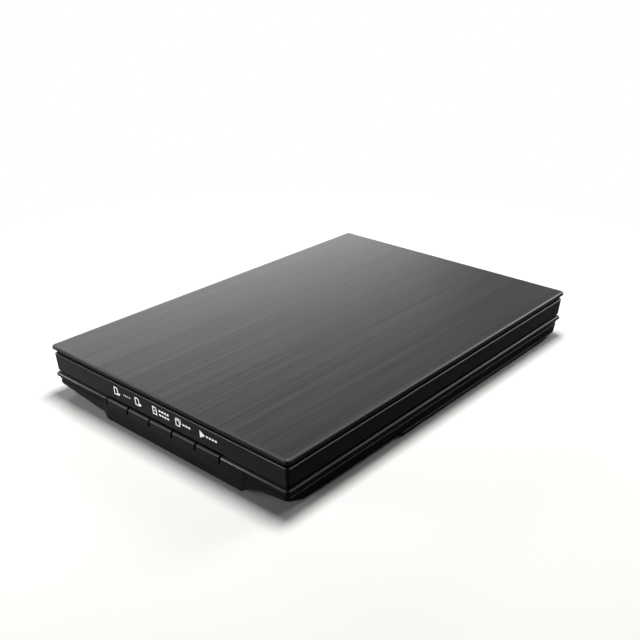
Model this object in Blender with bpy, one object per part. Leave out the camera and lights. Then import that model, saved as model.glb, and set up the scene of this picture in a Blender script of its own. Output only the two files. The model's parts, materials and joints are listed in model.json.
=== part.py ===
"""A slim A4 flatbed scanner, modelled as the pieces that it comes apart into.

Units are metres and +Z is up. The front, with the buttons, faces -Y, and the origin lies on the
ground under the middle of the lid. The scan carriage rests at home, under the rear bezel.
"""

import math

import bmesh
import bpy
from mathutils import Matrix, Vector

# Outline of the closed scanner
WIDTH = 0.250
DEPTH = 0.367
HEIGHT = 0.042

# Clearances
SEAT_GAP = 0.0003  # between pieces that rest on each other
SLIDE_GAP = 0.0004  # between pieces that slide past each other
RUN_GAP = 0.0002  # round a turning or sliding shaft
OVERLAP = 0.0006  # how far joined shapes reach into each other

# Casing heights
FOOT_PROUD = 0.0006
RUNNER_DROP = 0.0016
FLOOR_WALL = 0.0028
SKIRT_LOW = 0.01145
LIP_LOW = 0.01575
LIP_HEIGHT = 0.0027
SHADOW_GAP = 0.0023
LID_HEIGHT = 0.0070  # from the base's rim to the top of the lid

# Casing insets from the outline, walls and drafts
LIP_INSET = 0.0008
WALL_INSET = 0.0029
WALL_DRAFT = 0.0011
SKIRT_INSET = 0.0014
SKIRT_DRAFT = 0.0026
LOWER_WALL = 0.0018
RIM_INSET = 0.0012
BAND_DRAFT = 0.0009
BAND_WALL = 0.0018
BEZEL_WALL = 0.0016
TONGUE_RISE = 0.0025

# Rounded edges
LID_CORNER_R = 0.0032
LID_EDGE_R = 0.0018
LID_UNDER_R = 0.0006
CASE_CORNER_R = 0.0028
RIM_EDGE_R = 0.0006
LIP_EDGE_R = 0.0020
LIP_UNDER_R = 0.0004
WALL_TOP_R = 0.0004
WALL_EDGE_R = 0.0009
CORNER_STEPS = 4
EDGE_STEPS = 3

# Front corners of the lower case, cut away by a slanting plane
CORNER_CUT_RISE = 0.0072
CORNER_CUT_SIDE = 0.0185
CORNER_CUT_FRONT = 0.058

# Front block that carries the buttons, and the foot runners
BLOCK_SETBACK = 0.0001
BLOCK_LEFT_MARGIN = 0.0013
BLOCK_RIGHT_MARGIN = 0.0208
BLOCK_LEFT_RAMP = 0.0100
BLOCK_RIGHT_RAMP = 0.0085
BLOCK_END_RISE = 0.0046
BLOCK_DEPTH = 0.030
RUNNER_WIDTH = 0.0135
RUNNER_SETBACK = 0.0002  # behind the top of the wall
RUNNER_FRONT = 0.1268  # behind the front edge of the outline
RUNNER_REAR = 0.0192  # before the rear edge of the outline
RUNNER_RAMP = 0.0064
RUNNER_EDGE = 0.0012

# Rubber feet
FOOT_SINK = 0.0012
FOOT_LENGTH = 0.018
FOOT_WIDTH = 0.007
FOOT_FRONT_INSET = 0.012
FOOT_END_INSET = 0.016
FOOT_REAR_INSET = 0.020

# Buttons
BUTTON_COUNT = 5
BUTTON_PITCH = 0.0242
BUTTON_ROW_X = 0.0017
NOTCH = 0.0018
BUTTON_HEIGHT = 0.0058
BUTTON_THICK = 0.0029
BUTTON_TRAVEL = 0.0008
STEM_WIDTH = 0.006
STEM_HEIGHT = 0.003
STEM_DROP = 0.0033  # below the top of the button
BULKHEAD = 0.0022
BULKHEAD_LAP = 0.0015
FLANGE_LAP = 0.0012
FLANGE_THICK = 0.0010
NOSE_R = 0.0012
NOSE_LENGTH = 0.0012
SWITCH_SIDE = 0.006
SWITCH_THICK = 0.003
SWITCH_WELL = 0.0019
BUTTON_BOARD_THICK = 0.0014
BUTTON_BOARD_HEIGHT = 0.0105
BOARD_GUIDE = 0.004

# Platen
SIDE_BEZEL = 0.0165
FRONT_BEZEL = 0.0305
REAR_BEZEL = 0.0387
GLASS_THICK = 0.0028
GLASS_SIDE_LAP = 0.0075
GLASS_FRONT_LAP = 0.0075
GLASS_REAR_LAP = 0.0155
GLASS_EDGE = 0.0004
STRIP_WIDTH = 0.008
STRIP_THICK = 0.0003
HOME_BACK = 0.0054  # scan line at home, behind the window

# Carriage
TRAY_DEPTH = 0.024
TRAY_WALL = 0.0012
TRAY_GRIP = 0.006
DECK_LIFT = 0.0054
DECK_THICK = 0.0014
SHAFT_X = 0.0
SHAFT_R = 0.0025
SHAFT_LIFT = 0.0052
BUSH_WALL = 0.0013
BUSH_LENGTH = 0.006
HUB_WALL = 0.0016
HUB_FLAT = 0.0003
SADDLE_WIDTH = 0.012
SADDLE_THICK = 0.003
SADDLE_CLEAR = 0.0009
SADDLE_RISE = 0.0010
CLIP_WALL = 0.0012

# Sensor bar
SENSOR_SHARE = 0.435  # of the height between the floor and the glass
SENSOR_FLOAT = 0.0008
SENSOR_GAP = 0.0011
SENSOR_END = 0.0020
SENSOR_EDGE = 0.0006
SHOE_LENGTH = 0.0045
SHOE_DEPTH = 0.012
SHOE_HEIGHT = 0.0065
SHOE_EDGE = 0.0012
SENSOR_WINDOW_WIDTH = 0.0114
SENSOR_WINDOW_THICK = 0.0009
CHANNEL_WIDTH = 0.009
CHANNEL_DEPTH = 0.0062
LENS_WIDTH = 0.0024
LENS_HEIGHT = 0.0048
LENS_OFFSET = 0.0020
LIGHT_R = 0.0015
SENSOR_BOARD_WIDTH = 0.015
SENSOR_BOARD_THICK = 0.0014
SPRING_END = 0.0305  # from the end of the sensor bar
SPRING_R = 0.0030
WIRE_R = 0.0003
SPRING_TURNS = 4
SPRING_POINTS = 10

# Drive
RACK_X = 0.045
RACK_THICK = 0.0026
RACK_BACK = 0.0045
RACK_OVERRUN = 0.006
RACK_MODULE = 0.0010
PINION_TEETH = 12
MOTOR_MODULE = 0.0006
WHEEL_TEETH = 40
MOTOR_TEETH = 12
WHEEL_THICK = 0.0017
PINION_FLOAT = 0.0006
PRESSURE_ANGLE = math.radians(25)
ADDENDUM = 0.8
DEDENDUM = 1.05
BACKLASH = 0.00016
FLANK_STEPS = 2
AXLE_R = 0.0010
AXLE_HEAD_R = 0.0018
MOTOR_R = 0.0090
MOTOR_EDGE = 0.0006
MOTOR_SHAFT_R = 0.0009
MOTOR_BORE_DEPTH = 0.0026

# Boards and cables
MAIN_BOARD_LEFT = 0.047  # from the left edge of the outline
MAIN_BOARD_LENGTH = 0.064
MAIN_BOARD_DEPTH = 0.011
MAIN_BOARD_REAR = 0.0070
MAIN_BOARD_LIFT = 0.0025
MAIN_BOARD_THICK = 0.0016
POST_R = 0.0022
POST_INSET = 0.0035
CHIP_SIDE = 0.007
CHIP_THICK = 0.0012
SOCKET_DEPTH = 0.0035
SOCKET_HEIGHT = 0.0017
SOCKET_LAP = 0.0010
USB_X = 0.025  # from the left end of the main board
USB_WIDTH = 0.0090
USB_HEIGHT = 0.0033
USB_DEPTH = 0.0072
USB_SHELL = 0.0004
USB_TONGUE = 0.0007
USB_TONGUE_SIDE = 0.0012
CABLE_WIDTH = 0.014
CABLE_THICK = 0.0003
CABLE_ANCHOR = 0.1815  # behind the front edge of the outline
CABLE_RISE = 0.030
CABLE_STEPS = 8
CLAMP_LENGTH = 0.006
CLAMP_WALL = 0.0014
RIBBON_HEIGHT = 0.005
RIBBON_LIFT = 0.0025
RIBBON_THICK = 0.0004
RIBBON_SIDE = 0.0010
RIBBON_FRONT = 0.0160
RIBBON_REAR = 0.0162
RIBBON_TURN = 0.0016
RIBBON_STEPS = 4

# Screws
SCREW_R = 0.0012
SCREW_HEAD_R = 0.0024
SCREW_HEAD = 0.0015
SCREW_LENGTH = 0.017
SCREW_SUNK = 0.0053
SCREW_SIDES = 12
BOSS_WALL = 0.0019
BOSS_SPLIT = 0.0165
PILOT_DEPTH = 0.009
FRONT_SCREW_SIDE = 0.025  # from the side of the outline
REAR_SCREW_SIDE = 0.014  # from the side of the outline
FRONT_SCREW_INSET = 0.0115
REAR_SCREW_INSET = 0.0115
BOARD_SCREW_R = 0.0009
BOARD_SCREW_HEAD_R = 0.0017
BOARD_SCREW_HEAD = 0.0010

# Lid
LID_EDGE = 0.0033
LID_SHEET = 0.0009
LID_RIM_WALL = 0.0014
LID_FRAME_INSET = 0.0024
LID_WEB = 0.0015
LID_BORDER = 0.012
LID_REAR_BORDER = 0.016
LID_REAR_BEVEL = 0.0016
PAD_CLEAR = 0.0012
PAD_THICK = 0.0033
BACKING_THICK = 0.0004

# Hinges
HINGE_SIDE = 0.035  # from the side of the outline
HINGE_REAR = 0.0035  # axis before the rear edge of the outline
HINGE_LOW = 0.0030  # axis below the top of the lid
HINGE_PIN_R = 0.0008
HINGE_PIN_LENGTH = 0.022
KNUCKLE_R = 0.0018
POST_WIDTH = 0.012
POST_THICK = 0.005
POST_REAR = 0.0080
GUIDE_WALL = 0.0015

ROUND_SIDES = 20
SMALL_SIDES = 12
SMOOTH_ANGLE = math.radians(35)

FINISHES = {
    "lid_brushed": ("#565657", 0.38, 0.35),
    "lid_black": ("#1c1c1d", 0.50, 0.0),
    "band_black": ("#2a2a2b", 0.38, 0.0),
    "case_black": ("#202021", 0.45, 0.0),
    "button_black": ("#262627", 0.40, 0.0),
    "glass": ("#c9d4d2", 0.05, 0.0),
    "white_sheet": ("#eeeeea", 0.60, 0.0),
    "foam": ("#3a3a3a", 0.95, 0.0),
    "rubber": ("#141414", 0.85, 0.0),
    "steel": ("#b9bbbd", 0.28, 1.0),
    "nylon": ("#d8d6cd", 0.50, 0.0),
    "bronze": ("#9a7b45", 0.45, 1.0),
    "board_green": ("#1f5a36", 0.55, 0.0),
    "chip_black": ("#191919", 0.50, 0.0),
    "cable_white": ("#d9dcdf", 0.40, 0.0),
    "carriage_black": ("#232324", 0.55, 0.0),
    "clear_acrylic": ("#dfe8ea", 0.10, 0.0),
}

# Heights and places that follow from the sizes above
LIP_TOP = LIP_LOW + LIP_HEIGHT
BAND_LOW = LIP_TOP + SHADOW_GAP
RIM_Z = HEIGHT - LID_HEIGHT
SHELL_LOW = FOOT_PROUD + RUNNER_DROP
FLOOR_Z = SHELL_LOW + FLOOR_WALL
HALF_WIDTH = WIDTH / 2
HALF_DEPTH = DEPTH / 2
CAVITY_INSET = WALL_INSET + WALL_DRAFT + LOWER_WALL
BAND_INNER = RIM_INSET + BAND_DRAFT + BAND_WALL
RUNNER_OUTER = HALF_WIDTH - WALL_INSET - RUNNER_SETBACK
RUNNER_END = HALF_DEPTH - RUNNER_REAR

WINDOW_HALF = HALF_WIDTH - SIDE_BEZEL
WINDOW_FRONT = FRONT_BEZEL - HALF_DEPTH
WINDOW_REAR = HALF_DEPTH - REAR_BEZEL
GLASS_TOP = RIM_Z - BEZEL_WALL - SEAT_GAP
GLASS_LOW = GLASS_TOP - GLASS_THICK

HOME_Y = WINDOW_REAR + HOME_BACK
TRAVEL = HOME_Y - WINDOW_FRONT
DECK_LOW = FLOOR_Z + DECK_LIFT
DECK_TOP = DECK_LOW + DECK_THICK
SENSOR_TOP = GLASS_LOW - SENSOR_GAP
SENSOR_HEIGHT = SENSOR_SHARE * (GLASS_LOW - FLOOR_Z)
SENSOR_LOW = SENSOR_TOP - SENSOR_HEIGHT
SENSOR_HALF = WINDOW_HALF + SENSOR_END
SENSOR_DEPTH = TRAY_DEPTH - 2 * TRAY_WALL - 2 * SLIDE_GAP
SPRING_X = SENSOR_HALF - SPRING_END
SHOE_START = SENSOR_HALF + SEAT_GAP
TRAY_INNER = SHOE_START + SHOE_LENGTH + SLIDE_GAP
SHAFT_Z = FLOOR_Z + SHAFT_LIFT

PINION_R = RACK_MODULE * PINION_TEETH / 2
GEAR_X = RACK_X - PINION_R
MOTOR_X = GEAR_X - MOTOR_MODULE * (WHEEL_TEETH + MOTOR_TEETH) / 2
RACK_LOW = FLOOR_Z + SEAT_GAP
RACK_TOP = RACK_LOW + RACK_THICK
WHEEL_LOW = RACK_TOP + SEAT_GAP
WHEEL_TOP = WHEEL_LOW + WHEEL_THICK
CARRIAGE_HALF = max(TRAY_DEPTH / 2, MOTOR_MODULE * (WHEEL_TEETH / 2 + ADDENDUM))

LIP_FRONT = LIP_INSET - HALF_DEPTH
ROW_LEFT = BUTTON_ROW_X - BUTTON_PITCH * BUTTON_COUNT / 2
ROW_RIGHT = BUTTON_ROW_X + BUTTON_PITCH * BUTTON_COUNT / 2
BUTTON_LOW = LIP_TOP - BUTTON_HEIGHT
BUTTON_BACK = LIP_FRONT + BUTTON_THICK
BULKHEAD_FRONT = BUTTON_BACK + BUTTON_TRAVEL + SLIDE_GAP
BULKHEAD_BACK = BULKHEAD_FRONT + BULKHEAD
STEM_Z = LIP_TOP - STEM_DROP
FLANGE_BACK = BULKHEAD_BACK + SEAT_GAP + FLANGE_THICK
NOSE_END = FLANGE_BACK + NOSE_LENGTH
SWITCH_FRONT = NOSE_END - SEAT_GAP
SWITCH_BACK = SWITCH_FRONT + SWITCH_THICK
BUTTON_BOARD_FRONT = SWITCH_BACK + SEAT_GAP
BUTTON_BOARD_BACK = BUTTON_BOARD_FRONT + BUTTON_BOARD_THICK

LID_SHEET_LOW = HEIGHT - LID_SHEET
LID_FRAME_LOW = RIM_Z + SEAT_GAP
LID_FRAME_TOP = LID_SHEET_LOW - SEAT_GAP
LID_FRAME_REAR = HALF_DEPTH - LID_RIM_WALL - SEAT_GAP
BACKING_LOW = GLASS_TOP + SEAT_GAP
PAD_LOW = BACKING_LOW + BACKING_THICK + SEAT_GAP
PAD_TOP = PAD_LOW + PAD_THICK
LID_WEB_LOW = PAD_TOP + SEAT_GAP

HINGE_X = HALF_WIDTH - HINGE_SIDE
HINGE_Y = HALF_DEPTH - HINGE_REAR
HINGE_Z = HEIGHT - HINGE_LOW
GUIDE_LOW = FLOOR_Z + SEAT_GAP
POST_LOW = GUIDE_LOW + GUIDE_WALL + SEAT_GAP
POST_BACK = HALF_DEPTH - POST_REAR
POST_FRONT = POST_BACK - POST_THICK
POST_TOP = HINGE_Z + KNUCKLE_R

BOARD_LEFT = MAIN_BOARD_LEFT - HALF_WIDTH
BOARD_RIGHT = BOARD_LEFT + MAIN_BOARD_LENGTH
BOARD_REAR = HALF_DEPTH - MAIN_BOARD_REAR
BOARD_FRONT = BOARD_REAR - MAIN_BOARD_DEPTH
BOARD_LOW = FLOOR_Z + MAIN_BOARD_LIFT
BOARD_TOP = BOARD_LOW + MAIN_BOARD_THICK
CABLE_X = BOARD_LEFT + CABLE_WIDTH
ANCHOR_Y = CABLE_ANCHOR - HALF_DEPTH

SCREW_PLACES = [
    (side * x, y)
    for side in (-1, 1)
    for x, y in (
        (HALF_WIDTH - FRONT_SCREW_SIDE, FRONT_SCREW_INSET - HALF_DEPTH),
        (HALF_WIDTH - REAR_SCREW_SIDE, HALF_DEPTH - REAR_SCREW_INSET),
    )
]
BOARD_SCREW_PLACES = [
    (x, BOARD_REAR - POST_INSET) for x in (BOARD_LEFT + POST_INSET, BOARD_RIGHT - POST_INSET)
]
FRONT_STOP = HOME_Y - TRAVEL - CARRIAGE_HALF - SADDLE_CLEAR
REAR_STOP = HOME_Y + CARRIAGE_HALF + SADDLE_CLEAR
SADDLE_SPANS = [(FRONT_STOP - SADDLE_THICK, FRONT_STOP), (REAR_STOP, REAR_STOP + SADDLE_THICK)]


# Scene, materials and objects


def clear_scene():
    for item in list(bpy.data.objects):
        bpy.data.objects.remove(item, do_unlink=True)


def new_collection(name):
    collection = bpy.data.collections.new(name)
    bpy.context.scene.collection.children.link(collection)
    return collection


def linear(hex_colour):
    """The linear RGBA value of an sRGB hex colour."""
    channels = [int(hex_colour[at : at + 2], 16) / 255 for at in (1, 3, 5)]
    return [c / 12.92 if c <= 0.04045 else ((c + 0.055) / 1.055) ** 2.4 for c in channels] + [1.0]


def plain_material(name, finish):
    colour, roughness, metallic = FINISHES[finish]
    material = bpy.data.materials.new(name)
    material.use_nodes = True
    shader = material.node_tree.nodes["Principled BSDF"]
    shader.inputs["Base Color"].default_value = linear(colour)
    shader.inputs["Roughness"].default_value = roughness
    shader.inputs["Metallic"].default_value = metallic
    return material


def carrier(name, at, parent=None):
    """An empty on a joint's axis, which carries the pieces that move together."""
    empty = bpy.data.objects.new(name, None)
    empty.parent = parent
    empty.location = Vector(at) - (world_place(parent) if parent else Vector())
    SCANNER.objects.link(empty)
    return empty


def world_place(item):
    place = Vector(item.location)
    while item.parent:
        item = item.parent
        place += item.location
    return place


def box_of(bm):
    low = Vector([min(v.co[axis] for v in bm.verts) for axis in range(3)])
    high = Vector([max(v.co[axis] for v in bm.verts) for axis in range(3)])
    return low, high


def mesh_of(bm, name):
    mesh = bpy.data.meshes.new(name)
    bm.to_mesh(mesh)
    bm.free()
    mesh.shade_smooth()
    mesh.set_sharp_from_angle(angle=SMOOTH_ANGLE)
    return mesh


def add_part(name, bm, finish, on):
    """A named piece, with its origin at the middle of its box, carried by an empty."""
    low, high = box_of(bm)
    middle = (low + high) / 2
    bmesh.ops.translate(bm, vec=-middle, verts=bm.verts)
    part = bpy.data.objects.new(name, mesh_of(bm, name))
    part.data.materials.append(plain_material(name, finish))
    SCANNER.objects.link(part)
    part.parent = on
    part.location = middle - world_place(on)
    return part


def combine(part, bm, operation):
    """Joins a shape to a piece or cuts it away, with a Boolean that stays on the piece."""
    tool = bpy.data.objects.new(f"{part.name}_tool", mesh_of(bm, f"{part.name}_tool"))
    tool.hide_render = True
    tool.display_type = "WIRE"
    CUTTERS.objects.link(tool)
    modifier = part.modifiers.new(operation.lower(), "BOOLEAN")
    modifier.operation = operation
    modifier.solver = "EXACT"
    modifier.object = tool


def join(part, *shapes):
    for bm in shapes:
        combine(part, bm, "UNION")


def cut(part, *shapes):
    for bm in shapes:
        combine(part, bm, "DIFFERENCE")


def evaluated_mesh(item):
    graph = bpy.context.evaluated_depsgraph_get()
    return bpy.data.meshes.new_from_object(item.evaluated_get(graph))


# Basic shapes, made in world space


def block(xs, ys, zs, edge=0.0):
    """A box between two values on each axis, with its edges chamfered by edge."""
    low = Vector((xs[0], ys[0], zs[0]))
    high = Vector((xs[1], ys[1], zs[1]))
    bm = bmesh.new()
    bmesh.ops.create_cube(bm, size=1.0)
    bmesh.ops.scale(bm, vec=high - low, verts=bm.verts)
    bmesh.ops.translate(bm, vec=(low + high) / 2, verts=bm.verts)
    if edge:
        round_edges(bm, bm.edges[:], edge, 1)
    return bm


def blocks(spans):
    """Several separate boxes in one mesh."""
    return together(block(*span) for span in spans)


def together(shapes):
    """Several separate shapes in one mesh."""
    bm = bmesh.new()
    for shape in shapes:
        mesh = bpy.data.meshes.new("shape")
        shape.to_mesh(mesh)
        shape.free()
        bm.from_mesh(mesh)
        bpy.data.meshes.remove(mesh)
    return bm


def round_edges(bm, edges, radius, steps):
    bmesh.ops.bevel(
        bm,
        geom=edges,
        offset=radius,
        offset_type="OFFSET",
        segments=steps,
        profile=0.5,
        affect="EDGES",
        material=-1,
    )


def level_edges(bm, z):
    """The edges that lie at one height."""
    near = SEAT_GAP / 10
    return [e for e in bm.edges if all(abs(v.co.z - z) < near for v in e.verts)]


def upright_edges(bm):
    near = SEAT_GAP / 10
    return [e for e in bm.edges if (e.verts[0].co.xy - e.verts[1].co.xy).length < near]


def slab(inset, low, high, corner, draft=0.0, top_edge=0.0, low_edge=0.0, rear=None):
    """A plate or shell blank set in from the outline. Draft narrows its lower end."""
    half = HALF_WIDTH - inset
    front = inset - HALF_DEPTH
    bm = block((-half, half), (front, -front if rear is None else rear), (low, high))
    round_edges(bm, upright_edges(bm), corner, CORNER_STEPS)
    for vert in bm.verts:
        if draft and vert.co.z < (low + high) / 2:
            vert.co.x -= math.copysign(draft, vert.co.x)
            vert.co.y -= math.copysign(draft, vert.co.y)
    if top_edge:
        round_edges(bm, level_edges(bm, high), top_edge, EDGE_STEPS)
    if low_edge:
        round_edges(bm, level_edges(bm, low), low_edge, EDGE_STEPS)
    return bm


def rod(start, end, radius, sides=ROUND_SIDES, edge=0.0):
    """A round bar between two points."""
    start = Vector(start)
    end = Vector(end)
    turn = (end - start).to_track_quat("Z", "Y").to_matrix().to_4x4()
    bm = bmesh.new()
    bmesh.ops.create_cone(
        bm, cap_ends=True, segments=sides, radius1=radius, radius2=radius, depth=(end - start).length
    )
    if edge:
        rims = [e for e in bm.edges if e.verts[0].co.z * e.verts[1].co.z > 0]
        round_edges(bm, rims, edge, 1)
    bmesh.ops.transform(bm, matrix=Matrix.Translation((start + end) / 2) @ turn, verts=bm.verts)
    return bm


def upright(place, radius, low, high, sides=ROUND_SIDES, edge=0.0):
    return rod((place[0], place[1], low), (place[0], place[1], high), radius, sides, edge)


def shaft_rod(start, end, radius):
    """A round bar along the guide shaft's axis."""
    return rod((SHAFT_X, start, SHAFT_Z), (SHAFT_X, end, SHAFT_Z), radius)


def nose_rod(x, start, end, radius):
    """A round bar along a button's axis."""
    return rod((x, start, STEM_Z), (x, end, STEM_Z), radius, SMALL_SIDES)


def around(middle, half):
    return middle - half, middle + half


def prism(outlines, thick, place):
    """A flat outline with holes, thick along its own Z and centred on it, moved by place."""
    curve = bpy.data.curves.new("outline", "CURVE")
    curve.dimensions = "2D"
    curve.fill_mode = "BOTH"
    curve.extrude = thick / 2
    for outline in outlines:
        spline = curve.splines.new("POLY")
        spline.points.add(len(outline) - 1)
        for point, (x, y) in zip(spline.points, outline):
            point.co = (x, y, 0.0, 1.0)
        spline.use_cyclic_u = True
    item = bpy.data.objects.new("outline", curve)
    bpy.context.scene.collection.objects.link(item)
    mesh = evaluated_mesh(item)
    bpy.data.objects.remove(item, do_unlink=True)
    bm = bmesh.new()
    bm.from_mesh(mesh)
    bpy.data.meshes.remove(mesh)
    bmesh.ops.remove_doubles(bm, verts=bm.verts, dist=SEAT_GAP / 1000)
    bmesh.ops.recalc_face_normals(bm, faces=bm.faces)
    bmesh.ops.transform(bm, matrix=place, verts=bm.verts)
    return bm


def level_prism(outlines, low, high):
    return prism(outlines, high - low, Matrix.Translation((0, 0, (low + high) / 2)))


def side_prism(outline, x, width):
    """An outline of (y, z) points, drawn out along X."""
    turn = Matrix(((0, 0, 1, x), (1, 0, 0, 0), (0, 1, 0, 0), (0, 0, 0, 1)))
    return prism([outline], width, turn)


def circle(middle, radius, sides):
    turns = [2 * math.pi * step / sides for step in range(sides)]
    return [(middle[0] + radius * math.cos(a), middle[1] + radius * math.sin(a)) for a in turns]


def slice_off(bm, point, outward):
    """Cuts away what lies beyond a plane and closes the cut."""
    geometry = bm.verts[:] + bm.edges[:] + bm.faces[:]
    bmesh.ops.bisect_plane(bm, geom=geometry, plane_co=point, plane_no=outward, clear_outer=True)
    bmesh.ops.holes_fill(bm, edges=[e for e in bm.edges if e.is_boundary])
    bmesh.ops.recalc_face_normals(bm, faces=bm.faces)


# Gear shapes


def involute(angle):
    return math.tan(angle) - angle


def gear_outline(middle, teeth, module, turn):
    """An involute gear with its first tooth at the angle turn."""
    pitch_r = module * teeth / 2
    base_r = pitch_r * math.cos(PRESSURE_ANGLE)
    root_r = pitch_r - DEDENDUM * module
    tip_r = pitch_r + ADDENDUM * module
    half_tooth = math.pi / (2 * teeth) - BACKLASH / (4 * pitch_r) * module / RACK_MODULE
    start_r = max(base_r, root_r)
    flank = []
    for step in range(FLANK_STEPS + 1):
        radius = start_r + (tip_r - start_r) * step / FLANK_STEPS
        rolled = involute(math.acos(min(1.0, base_r / radius)))
        flank.append((radius, half_tooth + involute(PRESSURE_ANGLE) - rolled))
    if root_r < base_r:
        flank.insert(0, (root_r, flank[0][1]))
    outline = []
    for tooth in range(teeth):
        centre = turn + 2 * math.pi * tooth / teeth
        sides = [(r, centre - a) for r, a in flank] + [(r, centre + a) for r, a in reversed(flank)]
        outline += [(middle[0] + r * math.cos(a), middle[1] + r * math.sin(a)) for r, a in sides]
    return outline


def rack_outline():
    """The rack's teeth point to -X, with a gap beside the pinion at home."""
    pitch = math.pi * RACK_MODULE
    half_tooth = pitch / 4 - BACKLASH / 4
    slope = math.tan(PRESSURE_ANGLE)
    tip = ADDENDUM * RACK_MODULE
    root = DEDENDUM * RACK_MODULE
    first = -math.ceil((TRAVEL + RACK_OVERRUN) / pitch)
    last = math.ceil(RACK_OVERRUN / pitch)
    outline = []
    for tooth in range(first, last):
        y = HOME_Y + (tooth + 0.5) * pitch
        wide = half_tooth + root * slope
        narrow = half_tooth - tip * slope
        outline += [
            (RACK_X + root, y - wide),
            (RACK_X - tip, y - narrow),
            (RACK_X - tip, y + narrow),
            (RACK_X + root, y + wide),
        ]
    back = RACK_X + root + RACK_BACK
    return outline + [(back, outline[-1][1]), (back, outline[0][1])]


# Lower case


def cut_corners(bm, low):
    """Cuts the two front corners away, by planes that meet the sides at the height low."""
    for side in (-1, 1):
        corner = Vector((side * (HALF_WIDTH - WALL_INSET), WALL_INSET - HALF_DEPTH, low))
        risen = corner + Vector((0, 0, CORNER_CUT_RISE))
        along = corner + Vector((0, CORNER_CUT_SIDE, 0)) - risen
        across = corner - Vector((side * CORNER_CUT_FRONT, 0, 0)) - risen
        outward = along.cross(across)
        slice_off(bm, risen, outward * -math.copysign(1, outward.z))


def lower_wall():
    """The wall up to the skirt, where it leaves a narrow ledge all round."""
    bm = slab(
        WALL_INSET,
        SHELL_LOW,
        SKIRT_LOW,
        CASE_CORNER_R,
        draft=WALL_DRAFT,
        top_edge=WALL_TOP_R,
        low_edge=WALL_EDGE_R,
    )
    cut_corners(bm, SHELL_LOW)
    return bm


def lower_cavity():
    inner_x = HALF_WIDTH - CAVITY_INSET
    inner_y = HALF_DEPTH - CAVITY_INSET
    bm = block((-inner_x, inner_x), (-inner_y, inner_y), (FLOOR_Z, RIM_Z))
    cut_corners(bm, FLOOR_Z)
    return bm


def front_block():
    """The block under the buttons: its ends ramp back to the wall and rise from the ground."""
    left = ROW_LEFT - BLOCK_LEFT_MARGIN
    right = ROW_RIGHT + BLOCK_RIGHT_MARGIN
    face = LIP_FRONT + BLOCK_SETBACK
    wall = WALL_INSET + WALL_DRAFT - HALF_DEPTH
    back = BLOCK_DEPTH - HALF_DEPTH
    outline = [
        (left - BLOCK_LEFT_RAMP, back),
        (left - BLOCK_LEFT_RAMP, wall),
        (left, face),
        (right, face),
        (right + BLOCK_RIGHT_RAMP, wall),
        (right + BLOCK_RIGHT_RAMP, back),
    ]
    bm = level_prism([outline], FOOT_PROUD, LIP_TOP - LIP_EDGE_R)
    slice_off(bm, (left + OVERLAP, 0, FOOT_PROUD), (-BLOCK_END_RISE, 0, -BLOCK_LEFT_RAMP))
    slice_off(bm, (right - OVERLAP, 0, FOOT_PROUD), (BLOCK_END_RISE, 0, -BLOCK_RIGHT_RAMP))
    slice_off(bm, (0, back - 2 * RUNNER_DROP, FOOT_PROUD), (0, RUNNER_DROP, -RUNNER_DROP))
    return bm


def runner(side):
    """A rail under the side wall that stands on the ground and ramps up at the rear."""
    xs = sorted((side * RUNNER_OUTER, side * (RUNNER_OUTER - RUNNER_WIDTH)))
    ys = (RUNNER_FRONT - HALF_DEPTH, RUNNER_END)
    bm = block(xs, ys, (FOOT_PROUD, SHELL_LOW + FLOOR_WALL / 2), RUNNER_EDGE / 2)
    slice_off(bm, (0, RUNNER_END - RUNNER_RAMP, FOOT_PROUD), (0, RUNNER_DROP, -RUNNER_RAMP))
    return bm


def foot_places():
    """The middle of each foot and whether it lies along X."""
    front = LIP_FRONT + FOOT_FRONT_INSET
    rear = RUNNER_END - FOOT_REAR_INSET
    outer = RUNNER_OUTER - RUNNER_WIDTH / 2
    return [
        (ROW_LEFT + FOOT_END_INSET, front, True),
        (ROW_RIGHT + BLOCK_RIGHT_MARGIN - FOOT_END_INSET, front, True),
        (-outer, rear, False),
        (outer, rear, False),
    ]


def foot_span(place, grow, low, high):
    x, y, along_x = place
    half_x = (FOOT_LENGTH if along_x else FOOT_WIDTH) / 2 + grow
    half_y = (FOOT_WIDTH if along_x else FOOT_LENGTH) / 2 + grow
    return (x - half_x, x + half_x), (y - half_y, y + half_y), (low, high)


def stem_span(index, grow, start, end):
    x = ROW_LEFT + (index + 0.5) * BUTTON_PITCH
    half_x = STEM_WIDTH / 2 + grow
    half_z = STEM_HEIGHT / 2 + grow
    return (x - half_x, x + half_x), (start, end), (STEM_Z - half_z, STEM_Z + half_z)


def board_guide_spans():
    """The two posts that hold the button board by its ends."""
    ends = (ROW_LEFT + BOARD_GUIDE, ROW_RIGHT - BOARD_GUIDE)
    low = FLOOR_Z - OVERLAP
    top = STEM_Z + BUTTON_BOARD_HEIGHT / 2 - BOARD_GUIDE / 2
    front = BUTTON_BOARD_FRONT + BUTTON_BOARD_THICK / 2
    back = BUTTON_BOARD_BACK + SEAT_GAP + TRAY_WALL
    return [((x - BOARD_GUIDE / 2, x + BOARD_GUIDE / 2), (front, back), (low, top)) for x in ends]


def button_board_span(grow):
    xs = (ROW_LEFT + BOARD_GUIDE - grow, ROW_RIGHT - BOARD_GUIDE + grow)
    ys = (BUTTON_BOARD_FRONT - grow, BUTTON_BOARD_BACK + grow)
    low = STEM_Z - BUTTON_BOARD_HEIGHT / 2
    return xs, ys, (low - grow, low + BUTTON_BOARD_HEIGHT + grow)


def usb_span(grow):
    x = BOARD_LEFT + USB_X
    rear = HALF_DEPTH - WALL_INSET - WALL_DRAFT / 2
    low = BOARD_TOP + SEAT_GAP
    xs = (x - USB_WIDTH / 2 - grow, x + USB_WIDTH / 2 + grow)
    return xs, (rear - USB_DEPTH - grow, rear + grow), (low - grow, low + USB_HEIGHT + grow)


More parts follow.
